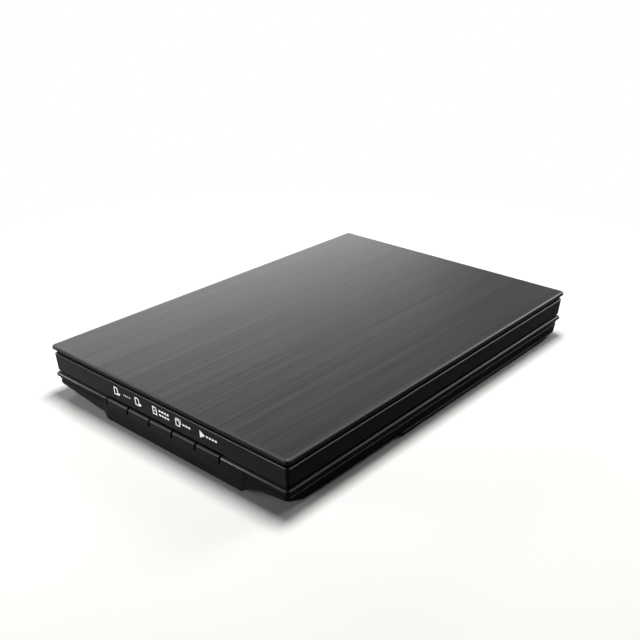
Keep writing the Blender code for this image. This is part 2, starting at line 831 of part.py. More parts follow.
def build_lower_case():
    part = add_part("lower_case", lower_wall(), "case_black", BASE)
    join(
        part,
        slab(LIP_INSET, LIP_LOW, LIP_TOP, CASE_CORNER_R, top_edge=LIP_EDGE_R, low_edge=LIP_UNDER_R),
        slab(SKIRT_INSET, SKIRT_LOW - OVERLAP, LIP_LOW + OVERLAP / 2, CASE_CORNER_R, draft=SKIRT_DRAFT),
        slab(BAND_INNER + SEAT_GAP, LIP_LOW + OVERLAP, BAND_LOW + TONGUE_RISE, CASE_CORNER_R),
        front_block(),
        runner(-1),
        runner(1),
    )
    pocket_x = (ROW_LEFT - NOTCH / 2, ROW_RIGHT + NOTCH / 2)
    cut(
        part,
        lower_cavity(),
        block(pocket_x, (-DEPTH, BULKHEAD_BACK), (BUTTON_LOW - SLIDE_GAP, RIM_Z)),
    )
    bulkhead_x = (pocket_x[0] - BULKHEAD_LAP, pocket_x[1] + BULKHEAD_LAP)
    bulkhead_top = BAND_LOW + TONGUE_RISE - OVERLAP
    join(part, block(bulkhead_x, (BULKHEAD_FRONT, BULKHEAD_BACK), (FLOOR_Z - OVERLAP, bulkhead_top)))
    join(part, blocks(board_guide_spans()))
    saddle_x = (SHAFT_X - SADDLE_WIDTH / 2, SHAFT_X + SADDLE_WIDTH / 2)
    join(part, blocks((saddle_x, ys, (FLOOR_Z - OVERLAP, SHAFT_Z + SADDLE_RISE)) for ys in SADDLE_SPANS))
    boss_r = SCREW_R + SEAT_GAP + BOSS_WALL
    join(part, together(upright(place, boss_r, FLOOR_Z - OVERLAP, BOSS_SPLIT) for place in SCREW_PLACES))
    post_z = (FLOOR_Z - OVERLAP, BOARD_LOW - SEAT_GAP)
    join(part, together(upright(place, POST_R, *post_z, SMALL_SIDES) for place in BOARD_SCREW_PLACES))
    hole_r = SCREW_R + SEAT_GAP
    head_r = SCREW_HEAD_R + SEAT_GAP
    head_top = SHELL_LOW + SCREW_SUNK + SEAT_GAP
    board_hole_r = BOARD_SCREW_R + RUN_GAP
    stem_y = (BULKHEAD_FRONT - OVERLAP, BULKHEAD_BACK + OVERLAP)
    plug_x, plug_y, plug_z = usb_span(SLIDE_GAP)
    cut(
        part,
        blocks(stem_span(index, SLIDE_GAP, *stem_y) for index in range(BUTTON_COUNT)),
        block(*button_board_span(SEAT_GAP)),
        shaft_rod(SADDLE_SPANS[0][0] - OVERLAP, SADDLE_SPANS[1][1] + OVERLAP, SHAFT_R + SEAT_GAP),
        together(upright(place, hole_r, 0, RIM_Z, SMALL_SIDES) for place in SCREW_PLACES),
        together(upright(place, head_r, 0, head_top, SMALL_SIDES) for place in SCREW_PLACES),
        together(
            upright(place, board_hole_r, FLOOR_Z - FLOOR_WALL / 2, BOARD_LOW, SMALL_SIDES)
            for place in BOARD_SCREW_PLACES
        ),
        block(plug_x, (plug_y[0], HALF_DEPTH), plug_z),
        blocks(foot_span(place, SEAT_GAP, 0, FOOT_PROUD + FOOT_SINK + SEAT_GAP) for place in foot_places()),
    )


# Upper case and platen


def post_span(side, grow):
    x = side * HINGE_X
    half = POST_WIDTH / 2 + grow
    return (x - half, x + half), (POST_FRONT - grow, POST_BACK + grow)


def build_upper_case():
    shell = slab(RIM_INSET, BAND_LOW, RIM_Z, CASE_CORNER_R, draft=BAND_DRAFT, top_edge=RIM_EDGE_R)
    part = add_part("upper_case", shell, "band_black", BASE)
    inner_x = HALF_WIDTH - BAND_INNER
    inner_y = HALF_DEPTH - BAND_INNER
    ceiling = RIM_Z - BEZEL_WALL
    cut(
        part,
        block((-inner_x, inner_x), (-inner_y, inner_y), (FLOOR_Z, ceiling)),
        block((-WINDOW_HALF, WINDOW_HALF), (WINDOW_FRONT, WINDOW_REAR), (FLOOR_Z, HEIGHT)),
    )
    guide = SLIDE_GAP + GUIDE_WALL
    boss_r = SCREW_R + SEAT_GAP + BOSS_WALL
    boss_low = BOSS_SPLIT + SEAT_GAP
    join(
        part,
        blocks((*post_span(side, guide), (GUIDE_LOW, ceiling + OVERLAP)) for side in (-1, 1)),
        together(upright(place, boss_r, boss_low, ceiling + OVERLAP) for place in SCREW_PLACES),
    )
    pilot_r = SCREW_R + RUN_GAP
    pilot_top = boss_low + PILOT_DEPTH
    cut(
        part,
        blocks((*post_span(side, SLIDE_GAP), (POST_LOW - SEAT_GAP, HEIGHT)) for side in (-1, 1)),
        together(upright(place, pilot_r, FLOOR_Z, pilot_top, SMALL_SIDES) for place in SCREW_PLACES),
    )


def build_platen():
    half = WINDOW_HALF + GLASS_SIDE_LAP
    ys = (WINDOW_FRONT - GLASS_FRONT_LAP, WINDOW_REAR + GLASS_REAR_LAP)
    add_part("platen_glass", block((-half, half), ys, (GLASS_LOW, GLASS_TOP), GLASS_EDGE), "glass", BASE)
    strip_top = GLASS_LOW - SEAT_GAP
    strip_y = (HOME_Y - STRIP_WIDTH / 2, HOME_Y + STRIP_WIDTH / 2)
    strip = block((-WINDOW_HALF, WINDOW_HALF), strip_y, (strip_top - STRIP_THICK, strip_top))
    add_part("calibration_strip", strip, "white_sheet", BASE)


# Fasteners and feet


def screw(place, low, radius, length, head_r, head):
    """A pan-head screw that points up, with its head at low."""
    bm = upright(place, radius, low, low + length, SCREW_SIDES)
    base = [f for f in bm.faces if all(abs(v.co.z - low) < SEAT_GAP / 10 for v in f.verts)]
    wider = head_r / radius
    bmesh.ops.translate(bm, vec=(0, 0, head), verts=base[0].verts)
    centre = Vector((place[0], place[1], 0))
    for scale, drop in ((wider, 0), (1, -head)):
        made = bmesh.ops.extrude_face_region(bm, geom=base)
        old = base
        base = [f for f in made["geom"] if isinstance(f, bmesh.types.BMFace)]
        bmesh.ops.delete(bm, geom=old, context="FACES")
        verts = list({v for f in base for v in f.verts})
        bmesh.ops.translate(bm, vec=(0, 0, drop), verts=verts)
        space = Matrix.Translation(-centre)
        bmesh.ops.scale(bm, vec=(scale, scale, 1), space=space, verts=verts)
    bmesh.ops.recalc_face_normals(bm, faces=bm.faces)
    return bm


def build_fasteners():
    low = SHELL_LOW + SCREW_SUNK - SCREW_HEAD
    for number, place in enumerate(SCREW_PLACES, 1):
        shape = screw(place, low, SCREW_R, SCREW_LENGTH, SCREW_HEAD_R, SCREW_HEAD)
        add_part(f"case_screw_{number}", shape, "steel", BASE)
    top = BOARD_TOP + SEAT_GAP + BOARD_SCREW_HEAD
    for number, place in enumerate(BOARD_SCREW_PLACES, 1):
        shape = screw(place, 0, BOARD_SCREW_R, top - FLOOR_Z, BOARD_SCREW_HEAD_R, BOARD_SCREW_HEAD)
        flip = Matrix.Translation((0, 2 * place[1], top)) @ Matrix.Rotation(math.pi, 4, "X")
        bmesh.ops.transform(shape, matrix=flip, verts=shape.verts)
        add_part(f"board_screw_{number}", shape, "steel", BASE)
    for number, place in enumerate(foot_places(), 1):
        pad = block(*foot_span(place, 0, 0, FOOT_PROUD + FOOT_SINK))
        add_part(f"rubber_foot_{number}", pad, "rubber", BASE)


# Buttons, their board and switches


def build_buttons():
    half = (BUTTON_PITCH - NOTCH) / 2
    first_x = ROW_LEFT + BUTTON_PITCH / 2
    cap = block((first_x - half, first_x + half), (LIP_FRONT, BUTTON_BACK), (BUTTON_LOW, LIP_TOP))
    brow = [e for e in level_edges(cap, LIP_TOP) if all(v.co.y < BUTTON_BACK - OVERLAP for v in e.verts)]
    round_edges(cap, brow, LIP_EDGE_R, EDGE_STEPS)
    model = add_part("button", cap, "button_black", BASE)
    flange = FLANGE_LAP + SLIDE_GAP
    join(
        model,
        block(*stem_span(0, 0, BUTTON_BACK - OVERLAP, FLANGE_BACK - FLANGE_THICK / 2)),
        block(*stem_span(0, flange, FLANGE_BACK - FLANGE_THICK, FLANGE_BACK)),
        nose_rod(first_x, FLANGE_BACK - FLANGE_THICK / 2, NOSE_END, NOSE_R),
    )
    mesh = evaluated_mesh(model)
    place = Vector(model.location)
    for modifier in list(model.modifiers):
        bpy.data.objects.remove(modifier.object, do_unlink=True)
    bpy.data.objects.remove(model, do_unlink=True)
    for index in range(BUTTON_COUNT):
        middle = place + Vector((index * BUTTON_PITCH, 0, 0))
        slide = carrier(f"button_{index + 1}_slide", middle, BASE)
        button = bpy.data.objects.new(f"button_{index + 1}", mesh)
        SCANNER.objects.link(button)
        button.parent = slide


def build_button_board():
    """The board and the rubber key mat before it, with a well for each button's nose."""
    add_part("button_board", block(*button_board_span(0)), "board_green", BASE)
    xs = (ROW_LEFT + 2 * BOARD_GUIDE, ROW_RIGHT - 2 * BOARD_GUIDE)
    mat = block(xs, (SWITCH_FRONT, SWITCH_BACK), around(STEM_Z, SWITCH_SIDE / 2))
    part = add_part("key_mat", mat, "rubber", BASE)
    wells = []
    for index in range(BUTTON_COUNT):
        x = ROW_LEFT + (index + 0.5) * BUTTON_PITCH
        wells.append(nose_rod(x, SWITCH_FRONT - OVERLAP, SWITCH_FRONT + SWITCH_WELL, NOSE_R + SLIDE_GAP))
    cut(part, together(wells))


# Main board and cables


def build_main_board():
    board = block((BOARD_LEFT, BOARD_RIGHT), (BOARD_FRONT, BOARD_REAR), (BOARD_LOW, BOARD_TOP))
    part = add_part("main_board", board, "board_green", BASE)
    hole_r = BOARD_SCREW_R + SEAT_GAP
    cut(
        part,
        together(upright(place, hole_r, FLOOR_Z, RIM_Z, SMALL_SIDES) for place in BOARD_SCREW_PLACES),
    )
    chip_x = BOARD_RIGHT - MAIN_BOARD_LENGTH / 4
    chip_y = (BOARD_FRONT + BOARD_REAR) / 2
    half = CHIP_SIDE / 2
    chip_low = BOARD_TOP + SEAT_GAP
    chip = block(around(chip_x, half), around(chip_y, half), (chip_low, chip_low + CHIP_THICK))
    add_part("processor_chip", chip, "chip_black", BASE)
    socket_top = BOARD_LOW - SEAT_GAP
    socket = block(
        around(CABLE_X, CABLE_WIDTH / 2 + SOCKET_LAP),
        (BOARD_FRONT + SOCKET_LAP, BOARD_FRONT + SOCKET_LAP + SOCKET_DEPTH),
        (socket_top - SOCKET_HEIGHT, socket_top),
    )
    add_part("cable_socket", socket, "nylon", BASE)
    build_usb_socket()


def build_usb_socket():
    xs, ys, zs = usb_span(0)
    part = add_part("usb_socket", block(xs, ys, zs), "steel", BASE)
    mouth = block(
        (xs[0] + USB_SHELL, xs[1] - USB_SHELL),
        (ys[0] + USB_SHELL, ys[1] + OVERLAP),
        (zs[0] + USB_SHELL, zs[1] - USB_SHELL),
    )
    cut(part, mouth)
    middle = (zs[0] + zs[1]) / 2
    inset = USB_SHELL + USB_TONGUE_SIDE
    tongue = block(
        (xs[0] + inset, xs[1] - inset),
        (ys[0] + USB_SHELL / 2, ys[1] - USB_TONGUE_SIDE),
        (middle - USB_TONGUE / 2, middle + USB_TONGUE / 2),
    )
    join(part, tongue)


def smooth_step(share):
    return share * share * (3 - 2 * share)


def strip_outline(points, thick):
    """The closed outline of a strip whose lower side follows (y, z) points."""
    return points + [(y, z + thick) for y, z in reversed(points)]


def build_flat_cables():
    """The flat cable lies on the floor to its clamp, then runs back above itself to the carriage."""
    low = FLOOR_Z + SEAT_GAP
    socket_mid = BOARD_LOW - SEAT_GAP - SOCKET_HEIGHT / 2 - CABLE_THICK / 2
    start = BOARD_FRONT + SOCKET_LAP - SEAT_GAP
    reach = start - CLAMP_LENGTH
    clamp_front = ANCHOR_Y - CLAMP_LENGTH / 2
    points = [(clamp_front, low)]
    for step in range(CABLE_STEPS + 1):
        share = step / CABLE_STEPS
        points.append((reach + (start - reach) * share, low + (socket_mid - low) * smooth_step(share)))
    strip = side_prism(strip_outline(points, CABLE_THICK), CABLE_X, CABLE_WIDTH)
    add_part("flat_cable_fixed", strip, "cable_white", BASE)

    upper = low + CABLE_THICK + SEAT_GAP
    socket_top = DECK_LOW - SEAT_GAP
    plug_z = socket_top - SOCKET_HEIGHT / 2 - CABLE_THICK / 2
    end = HOME_Y - SOCKET_DEPTH / 2 - SEAT_GAP
    points = [(clamp_front, upper)]
    for step in range(CABLE_STEPS + 1):
        share = step / CABLE_STEPS
        points.append((end - CABLE_RISE * (1 - share), upper + (plug_z - upper) * smooth_step(share)))
    strip = side_prism(strip_outline(points, CABLE_THICK), CABLE_X, CABLE_WIDTH)
    add_part("flat_cable_moving", strip, "cable_white", BASE)

    socket = block(
        around(CABLE_X, CABLE_WIDTH / 2 + SOCKET_LAP),
        around(HOME_Y, SOCKET_DEPTH / 2),
        (socket_top - SOCKET_HEIGHT, socket_top),
    )
    add_part("carriage_socket", socket, "nylon", CARRIAGE)

    tunnel_top = upper + CABLE_THICK + SEAT_GAP
    tunnel = CABLE_WIDTH / 2 + SEAT_GAP
    outer = tunnel + CLAMP_WALL
    ys = (clamp_front, clamp_front + CLAMP_LENGTH)
    bridge = block(around(CABLE_X, outer), ys, (low, tunnel_top + CLAMP_WALL))
    part = add_part("cable_clamp", bridge, "case_black", BASE)
    cut(part, block(around(CABLE_X, tunnel), (ys[0] - OVERLAP, ys[1] + OVERLAP), (0, tunnel_top)))


def rounded_route(points, radius):
    """A route of straight runs with its turns rounded by arcs."""
    route = [Vector(points[0])]
    for before, at, after in zip(points, points[1:], points[2:]):
        at = Vector(at)
        arrive = (Vector(before) - at).normalized()
        leave = (Vector(after) - at).normalized()
        centre = at + (arrive + leave) * radius
        start = at + arrive * radius - centre
        turn = start.angle_signed(at + leave * radius - centre)
        for step in range(RIBBON_STEPS + 1):
            angle = -turn * step / RIBBON_STEPS
            route.append(centre + Matrix.Rotation(angle, 2) @ start)
    return route + [Vector(points[-1])]


def build_button_cable():
    """A ribbon on edge from the button board round the right wall to the main board."""
    wall_x = HALF_WIDTH - CAVITY_INSET - RIBBON_SIDE
    front = RIBBON_FRONT - HALF_DEPTH
    rear = HALF_DEPTH - RIBBON_REAR
    start_x = ROW_RIGHT - 3 * BOARD_GUIDE
    corners = [
        (start_x, BUTTON_BOARD_BACK + SEAT_GAP),
        (start_x, front),
        (wall_x, front),
        (wall_x, rear),
        (BOARD_RIGHT + SEAT_GAP, rear),
    ]
    route = rounded_route(corners, RIBBON_TURN)
    sides = []
    for index, point in enumerate(route):
        ahead = route[min(index + 1, len(route) - 1)] - route[max(index - 1, 0)]
        across = Vector((-ahead.y, ahead.x)).normalized() * (RIBBON_THICK / 2)
        sides.append((point + across, point - across))
    outline = [tuple(left) for left, right in sides] + [tuple(right) for left, right in reversed(sides)]
    low = FLOOR_Z + RIBBON_LIFT
    add_part("button_cable", level_prism([outline], low, low + RIBBON_HEIGHT), "cable_white", BASE)


# Carriage


def build_guide():
    ends = (SADDLE_SPANS[0][0] + SEAT_GAP, SADDLE_SPANS[1][1] - SEAT_GAP)
    add_part("guide_shaft", shaft_rod(*ends, SHAFT_R), "steel", BASE)
    bore_r = SHAFT_R + SEAT_GAP
    zs = (SHAFT_Z + SADDLE_RISE + SEAT_GAP, SHAFT_Z + bore_r + CLIP_WALL)
    for word, ys in zip(("front", "rear"), SADDLE_SPANS):
        clip = block(around(SHAFT_X, SADDLE_WIDTH / 2), ys, zs)
        part = add_part(f"shaft_clip_{word}", clip, "case_black", BASE)
        cut(part, shaft_rod(-HALF_DEPTH, HALF_DEPTH, bore_r))


def build_carriage():
    half = TRAY_DEPTH / 2
    outer_x = TRAY_INNER + TRAY_WALL
    ys = (HOME_Y - half, HOME_Y + half)
    inner_y = (ys[0] + TRAY_WALL, ys[1] - TRAY_WALL)
    top = SENSOR_LOW + TRAY_GRIP
    tray = block((-outer_x, outer_x), ys, (DECK_LOW, top))
    part = add_part("carriage_frame", tray, "carriage_black", CARRIAGE)
    cut(part, block((-TRAY_INNER, TRAY_INNER), inner_y, (DECK_TOP, RIM_Z)))
    bush_r = SHAFT_R + RUN_GAP + BUSH_WALL
    hub_r = bush_r + RUN_GAP + HUB_WALL
    hub_z = (SHAFT_Z - bush_r - RUN_GAP - HUB_FLAT, SHAFT_Z + hub_r)
    hub_y = (ys[0] + TRAY_WALL / 2, ys[1] - TRAY_WALL / 2)
    join(part, block((SHAFT_X - hub_r, SHAFT_X + hub_r), hub_y, hub_z))
    axle_hole = upright((GEAR_X, HOME_Y), AXLE_R + RUN_GAP, FLOOR_Z, SENSOR_LOW, SMALL_SIDES)
    motor_hole = upright((MOTOR_X, HOME_Y), MOTOR_SHAFT_R + SEAT_GAP, FLOOR_Z, SENSOR_LOW, SMALL_SIDES)
    cut(part, shaft_rod(ys[0] - half, ys[1] + half, bush_r + RUN_GAP), axle_hole, motor_hole)
    for word, start in (("front", hub_y[0]), ("rear", hub_y[1] - BUSH_LENGTH)):
        end = start + BUSH_LENGTH
        bush = add_part(f"shaft_bush_{word}", shaft_rod(start, end, bush_r), "bronze", CARRIAGE)
        cut(bush, shaft_rod(start - OVERLAP, end + OVERLAP, SHAFT_R + RUN_GAP))


def build_springs():
    low = DECK_TOP + SEAT_GAP + WIRE_R
    high = SENSOR_LOW - SEAT_GAP - WIRE_R
    count = SPRING_TURNS * SPRING_POINTS
    for name, side in (("sensor_spring_left", -1), ("sensor_spring_right", 1)):
        curve = bpy.data.curves.new(name, "CURVE")
        curve.dimensions = "3D"
        curve.bevel_depth = WIRE_R
        curve.bevel_resolution = 1
        curve.use_fill_caps = True
        spline = curve.splines.new("POLY")
        spline.points.add(count)
        for step, point in enumerate(spline.points):
            angle = 2 * math.pi * step / SPRING_POINTS
            rise = (high - low) * (step / count - 0.5)
            point.co = (SPRING_R * math.cos(angle), SPRING_R * math.sin(angle), rise, 1.0)
        spring = bpy.data.objects.new(name, curve)
        curve.materials.append(plain_material(name, "steel"))
        SCANNER.objects.link(spring)
        spring.parent = CARRIAGE
        spring.location = Vector((side * SPRING_X, HOME_Y, (low + high) / 2)) - world_place(CARRIAGE)


def build_motor():
    place = (MOTOR_X, HOME_Y)
    low = DECK_TOP + SEAT_GAP
    top = SENSOR_LOW - SENSOR_FLOAT - SEAT_GAP
    body = upright(place, MOTOR_R, low, top, edge=MOTOR_EDGE)
    can = add_part("motor", body, "steel", CARRIAGE)
    cut(can, upright(place, MOTOR_SHAFT_R + RUN_GAP, FLOOR_Z, low + MOTOR_BORE_DEPTH, SMALL_SIDES))
    shaft_low = WHEEL_LOW - SEAT_GAP
    shaft_top = low + MOTOR_BORE_DEPTH - SEAT_GAP
    shaft = upright(place, MOTOR_SHAFT_R, shaft_low, shaft_top, SMALL_SIDES)
    add_part("motor_shaft", shaft, "steel", MOTOR_AXIS)
    teeth = gear_outline(place, MOTOR_TEETH, MOTOR_MODULE, math.pi / MOTOR_TEETH)
    bore = circle(place, MOTOR_SHAFT_R + RUN_GAP, SMALL_SIDES)
    add_part("motor_pinion", level_prism([teeth, bore], shaft_low, WHEEL_TOP), "bronze", MOTOR_AXIS)


def build_reduction_gear():
    place = (GEAR_X, HOME_Y)
    bore = circle(place, AXLE_R + RUN_GAP, SMALL_SIDES)
    wheel = level_prism([gear_outline(place, WHEEL_TEETH, MOTOR_MODULE, 0), bore], WHEEL_LOW, WHEEL_TOP)
    part = add_part("reduction_gear", wheel, "nylon", GEAR_AXIS)
    pinion = gear_outline(place, PINION_TEETH, RACK_MODULE, 0)
    join(part, level_prism([pinion, bore], FLOOR_Z + PINION_FLOAT, WHEEL_LOW + WHEEL_THICK / 4))
    axle_low = FLOOR_Z + PINION_FLOAT
    axle_top = DECK_TOP + SEAT_GAP
    pin = upright(place, AXLE_R, axle_low, axle_top + AXLE_R, SMALL_SIDES)
    axle = add_part("gear_axle", pin, "steel", CARRIAGE)
    join(axle, upright(place, AXLE_HEAD_R, axle_top, axle_top + AXLE_R + OVERLAP, SMALL_SIDES))
    add_part("drive_rack", level_prism([rack_outline()], RACK_LOW, RACK_TOP), "nylon", BASE)


# Sensor bar


def build_sensor_bar():
    half = SENSOR_DEPTH / 2
    ys = (HOME_Y - half, HOME_Y + half)
    body = block((-SENSOR_HALF, SENSOR_HALF), ys, (SENSOR_LOW, SENSOR_TOP), SENSOR_EDGE)
    part = add_part("sensor_housing", body, "carriage_black", SENSOR)
    window_x = WINDOW_HALF + SENSOR_END / 2
    window_y = SENSOR_WINDOW_WIDTH / 2
    window_low = SENSOR_TOP - SENSOR_WINDOW_THICK
    seat_x = window_x + SEAT_GAP
    seat_y = window_y + SEAT_GAP
    seat_low = window_low - SEAT_GAP
    channel_low = seat_low - CHANNEL_DEPTH
    channel_y = CHANNEL_WIDTH / 2
    board_top = SENSOR_LOW + SENSOR_BOARD_THICK + SEAT_GAP
    board_y = SENSOR_BOARD_WIDTH / 2
    cut(
        part,
        block((-seat_x, seat_x), around(HOME_Y, seat_y), (seat_low, RIM_Z)),
        block((-WINDOW_HALF, WINDOW_HALF), around(HOME_Y, channel_y), (channel_low, SENSOR_TOP)),
        block((-seat_x, seat_x), around(HOME_Y, board_y + SEAT_GAP), (DECK_TOP, board_top + SEAT_GAP)),
    )
    window = block((-window_x, window_x), around(HOME_Y, window_y), (window_low, SENSOR_TOP))
    add_part("sensor_window", window, "glass", SENSOR)
    inside_x = WINDOW_HALF - SEAT_GAP
    lens_low = channel_low + SEAT_GAP
    lens_y = around(HOME_Y + LENS_OFFSET, LENS_WIDTH / 2)
    lens = block((-inside_x, inside_x), lens_y, (lens_low, lens_low + LENS_HEIGHT))
    add_part("lens_array", lens, "chip_black", SENSOR)
    light_y = HOME_Y - channel_y + SEAT_GAP + LIGHT_R
    light_z = seat_low - SEAT_GAP - LIGHT_R
    light = rod((-inside_x, light_y, light_z), (inside_x, light_y, light_z), LIGHT_R, SMALL_SIDES)
    add_part("light_guide", light, "clear_acrylic", SENSOR)
    board = block((-window_x, window_x), around(HOME_Y, board_y), (SENSOR_LOW + SEAT_GAP, board_top))
    add_part("sensor_board", board, "board_green", SENSOR)
    shoe_top = GLASS_LOW - SEAT_GAP
    for name, side in (("glide_shoe_left", -1), ("glide_shoe_right", 1)):
        xs = sorted((side * SHOE_START, side * (SHOE_START + SHOE_LENGTH)))
        shoe = block(xs, around(HOME_Y, SHOE_DEPTH / 2), (shoe_top - SHOE_HEIGHT, shoe_top))
        ends = [e for e in level_edges(shoe, shoe_top) if abs(e.verts[0].co.y - e.verts[1].co.y) < SEAT_GAP]
        round_edges(shoe, ends, SHOE_EDGE, EDGE_STEPS)
        add_part(name, shoe, "nylon", SENSOR)


# Lid and hinges


def build_lid():
    low = HEIGHT - LID_EDGE
    sheet = slab(0, low, HEIGHT, LID_CORNER_R, top_edge=LID_EDGE_R, low_edge=LID_UNDER_R)
    panel = add_part("lid_panel", sheet, "lid_brushed", LID)
    half = HALF_WIDTH - LID_RIM_WALL
    deep = HALF_DEPTH - LID_RIM_WALL
    cut(panel, block((-half, half), (-deep, deep), (RIM_Z, LID_SHEET_LOW)))
    build_lid_frame()
    pad_x = (PAD_CLEAR - WINDOW_HALF, WINDOW_HALF - PAD_CLEAR)
    pad_y = (WINDOW_FRONT + PAD_CLEAR, WINDOW_REAR - PAD_CLEAR)
    add_part("foam_pad", block(pad_x, pad_y, (PAD_LOW, PAD_TOP)), "foam", LID)
    backing = block(pad_x, pad_y, (BACKING_LOW, BACKING_LOW + BACKING_THICK))
    add_part("backing_sheet", backing, "white_sheet", LID)


def build_lid_frame():
    blank = slab(LID_FRAME_INSET, LID_FRAME_LOW, LID_FRAME_TOP, CASE_CORNER_R, rear=LID_FRAME_REAR)
    rear_edge = (0, LID_FRAME_REAR - LID_REAR_BEVEL, LID_FRAME_LOW)
    slice_off(blank, rear_edge, (0, 1, -1))
    frame = add_part("lid_frame", blank, "lid_black", LID)
    pocket_x = WINDOW_HALF - PAD_CLEAR + SLIDE_GAP
    pocket_y = (WINDOW_FRONT + PAD_CLEAR - SLIDE_GAP, WINDOW_REAR - PAD_CLEAR + SLIDE_GAP)
    hollow_x = HALF_WIDTH - LID_FRAME_INSET - LID_BORDER
    hollow_y = (LID_FRAME_INSET + LID_BORDER - HALF_DEPTH, LID_FRAME_REAR - LID_REAR_BORDER)
    notch_y = (POST_FRONT - 2 * SLIDE_GAP, DEPTH)
    pin_half = HINGE_PIN_LENGTH / 2 + SEAT_GAP
    cut(
        frame,
        block((-pocket_x, pocket_x), pocket_y, (0, LID_WEB_LOW)),
        block((-hollow_x, hollow_x), hollow_y, (LID_WEB_LOW + LID_WEB, DEPTH)),
        blocks((post_span(side, SLIDE_GAP)[0], notch_y, (0, DEPTH)) for side in (-1, 1)),
        together(
            rod(
                (side * HINGE_X - pin_half, HINGE_Y, HINGE_Z),
                (side * HINGE_X + pin_half, HINGE_Y, HINGE_Z),
                HINGE_PIN_R + RUN_GAP,
                SMALL_SIDES,
            )
            for side in (-1, 1)
        ),
    )


def build_hinges():
    for word, side in (("left", -1), ("right", 1)):
        xs, ys = post_span(side, 0)
        part = add_part(f"hinge_post_{word}", block(xs, ys, (POST_LOW, POST_TOP)), "lid_black", LIFT)
        knuckle = (Vector((xs[0], HINGE_Y, HINGE_Z)), Vector((xs[1], HINGE_Y, HINGE_Z)))
        join(
            part,
            block(xs, (ys[1] - OVERLAP, HINGE_Y), (HINGE_Z - KNUCKLE_R, POST_TOP)),
            rod(*knuckle, KNUCKLE_R, SMALL_SIDES),
        )
        past = Vector((OVERLAP, 0, 0))
        cut(part, rod(knuckle[0] - past, knuckle[1] + past, HINGE_PIN_R + RUN_GAP, SMALL_SIDES))
        pin_half = HINGE_PIN_LENGTH / 2
        ends = ((side * HINGE_X - pin_half, HINGE_Y, HINGE_Z), (side * HINGE_X + pin_half, HINGE_Y, HINGE_Z))
        add_part(f"hinge_pin_{word}", rod(*ends, HINGE_PIN_R, SMALL_SIDES), "steel", LID)


clear_scene()
SCANNER = new_collection("flatbed_scanner")
CUTTERS = new_collection("cutters")
BASE = carrier("base", (0, 0, 0))
CARRIAGE = carrier("carriage_slide", (SHAFT_X, HOME_Y, SHAFT_Z), BASE)
SENSOR = carrier("sensor_float", (0, HOME_Y, SENSOR_LOW), CARRIAGE)
GEAR_AXIS = carrier("gear_axis", (GEAR_X, HOME_Y, WHEEL_LOW), CARRIAGE)
MOTOR_AXIS = carrier("motor_axis", (MOTOR_X, HOME_Y, WHEEL_LOW), CARRIAGE)
LIFT = carrier("lid_lift", (0, POST_FRONT, POST_LOW), BASE)
LID = carrier("lid_hinge", (0, HINGE_Y, HINGE_Z), LIFT)

build_flat_cables()
build_button_cable()
build_reduction_gear()
build_motor()
build_buttons()
build_lower_case()
build_upper_case()
build_platen()
build_fasteners()
build_button_board()
build_main_board()
build_guide()
build_carriage()
build_springs()
build_sensor_bar()
build_lid()
build_hinges()
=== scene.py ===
"""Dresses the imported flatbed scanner: its finishes, printed marks, soft pieces and studio.

Lengths are in metres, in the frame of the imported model: +Z is up and the buttons face -Y.
"""

import json
import math

import bmesh
import bpy
from mathutils import Matrix, Quaternion, Vector

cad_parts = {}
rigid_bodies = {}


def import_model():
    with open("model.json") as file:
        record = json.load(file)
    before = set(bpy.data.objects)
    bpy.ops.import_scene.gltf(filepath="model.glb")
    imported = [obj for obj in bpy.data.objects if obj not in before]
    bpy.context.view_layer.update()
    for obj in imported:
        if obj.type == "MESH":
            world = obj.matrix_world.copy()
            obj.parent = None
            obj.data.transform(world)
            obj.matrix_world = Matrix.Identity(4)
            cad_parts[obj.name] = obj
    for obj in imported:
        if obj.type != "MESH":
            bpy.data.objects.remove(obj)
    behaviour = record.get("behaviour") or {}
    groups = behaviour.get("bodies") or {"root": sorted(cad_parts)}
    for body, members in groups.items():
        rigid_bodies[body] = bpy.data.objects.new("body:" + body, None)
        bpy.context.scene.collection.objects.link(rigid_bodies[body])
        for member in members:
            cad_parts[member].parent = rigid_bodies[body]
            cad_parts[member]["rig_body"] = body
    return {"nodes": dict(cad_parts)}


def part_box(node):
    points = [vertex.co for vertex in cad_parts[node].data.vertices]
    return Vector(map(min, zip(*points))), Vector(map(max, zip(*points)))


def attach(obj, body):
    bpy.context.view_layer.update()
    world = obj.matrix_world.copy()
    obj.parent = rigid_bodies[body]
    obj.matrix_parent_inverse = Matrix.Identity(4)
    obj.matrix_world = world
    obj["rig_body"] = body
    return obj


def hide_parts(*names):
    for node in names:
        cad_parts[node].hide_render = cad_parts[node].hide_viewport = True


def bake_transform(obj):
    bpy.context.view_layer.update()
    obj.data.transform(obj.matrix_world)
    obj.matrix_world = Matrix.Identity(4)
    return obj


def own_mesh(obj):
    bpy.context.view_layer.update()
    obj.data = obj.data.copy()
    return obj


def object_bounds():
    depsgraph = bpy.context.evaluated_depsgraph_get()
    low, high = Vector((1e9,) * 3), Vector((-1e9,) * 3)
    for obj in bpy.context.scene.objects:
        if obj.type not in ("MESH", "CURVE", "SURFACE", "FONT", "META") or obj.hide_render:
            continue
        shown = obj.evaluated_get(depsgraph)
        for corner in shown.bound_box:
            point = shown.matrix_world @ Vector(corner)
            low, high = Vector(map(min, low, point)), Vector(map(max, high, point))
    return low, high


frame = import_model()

bl_info = {
    "name": "Flatbed scanner finishes",
    "version": (1, 0, 0),
    "blender": (4, 5, 0),
    "location": "View3D > Sidebar > Scanner",
    "description": "Adds the finishes, printed marks, soft pieces and studio of a slim flatbed scanner",
    "category": "Object",
}

NODES = frame["nodes"]
CAD_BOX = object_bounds()
MERGE_GAP = 0.000001
MM = 0.001


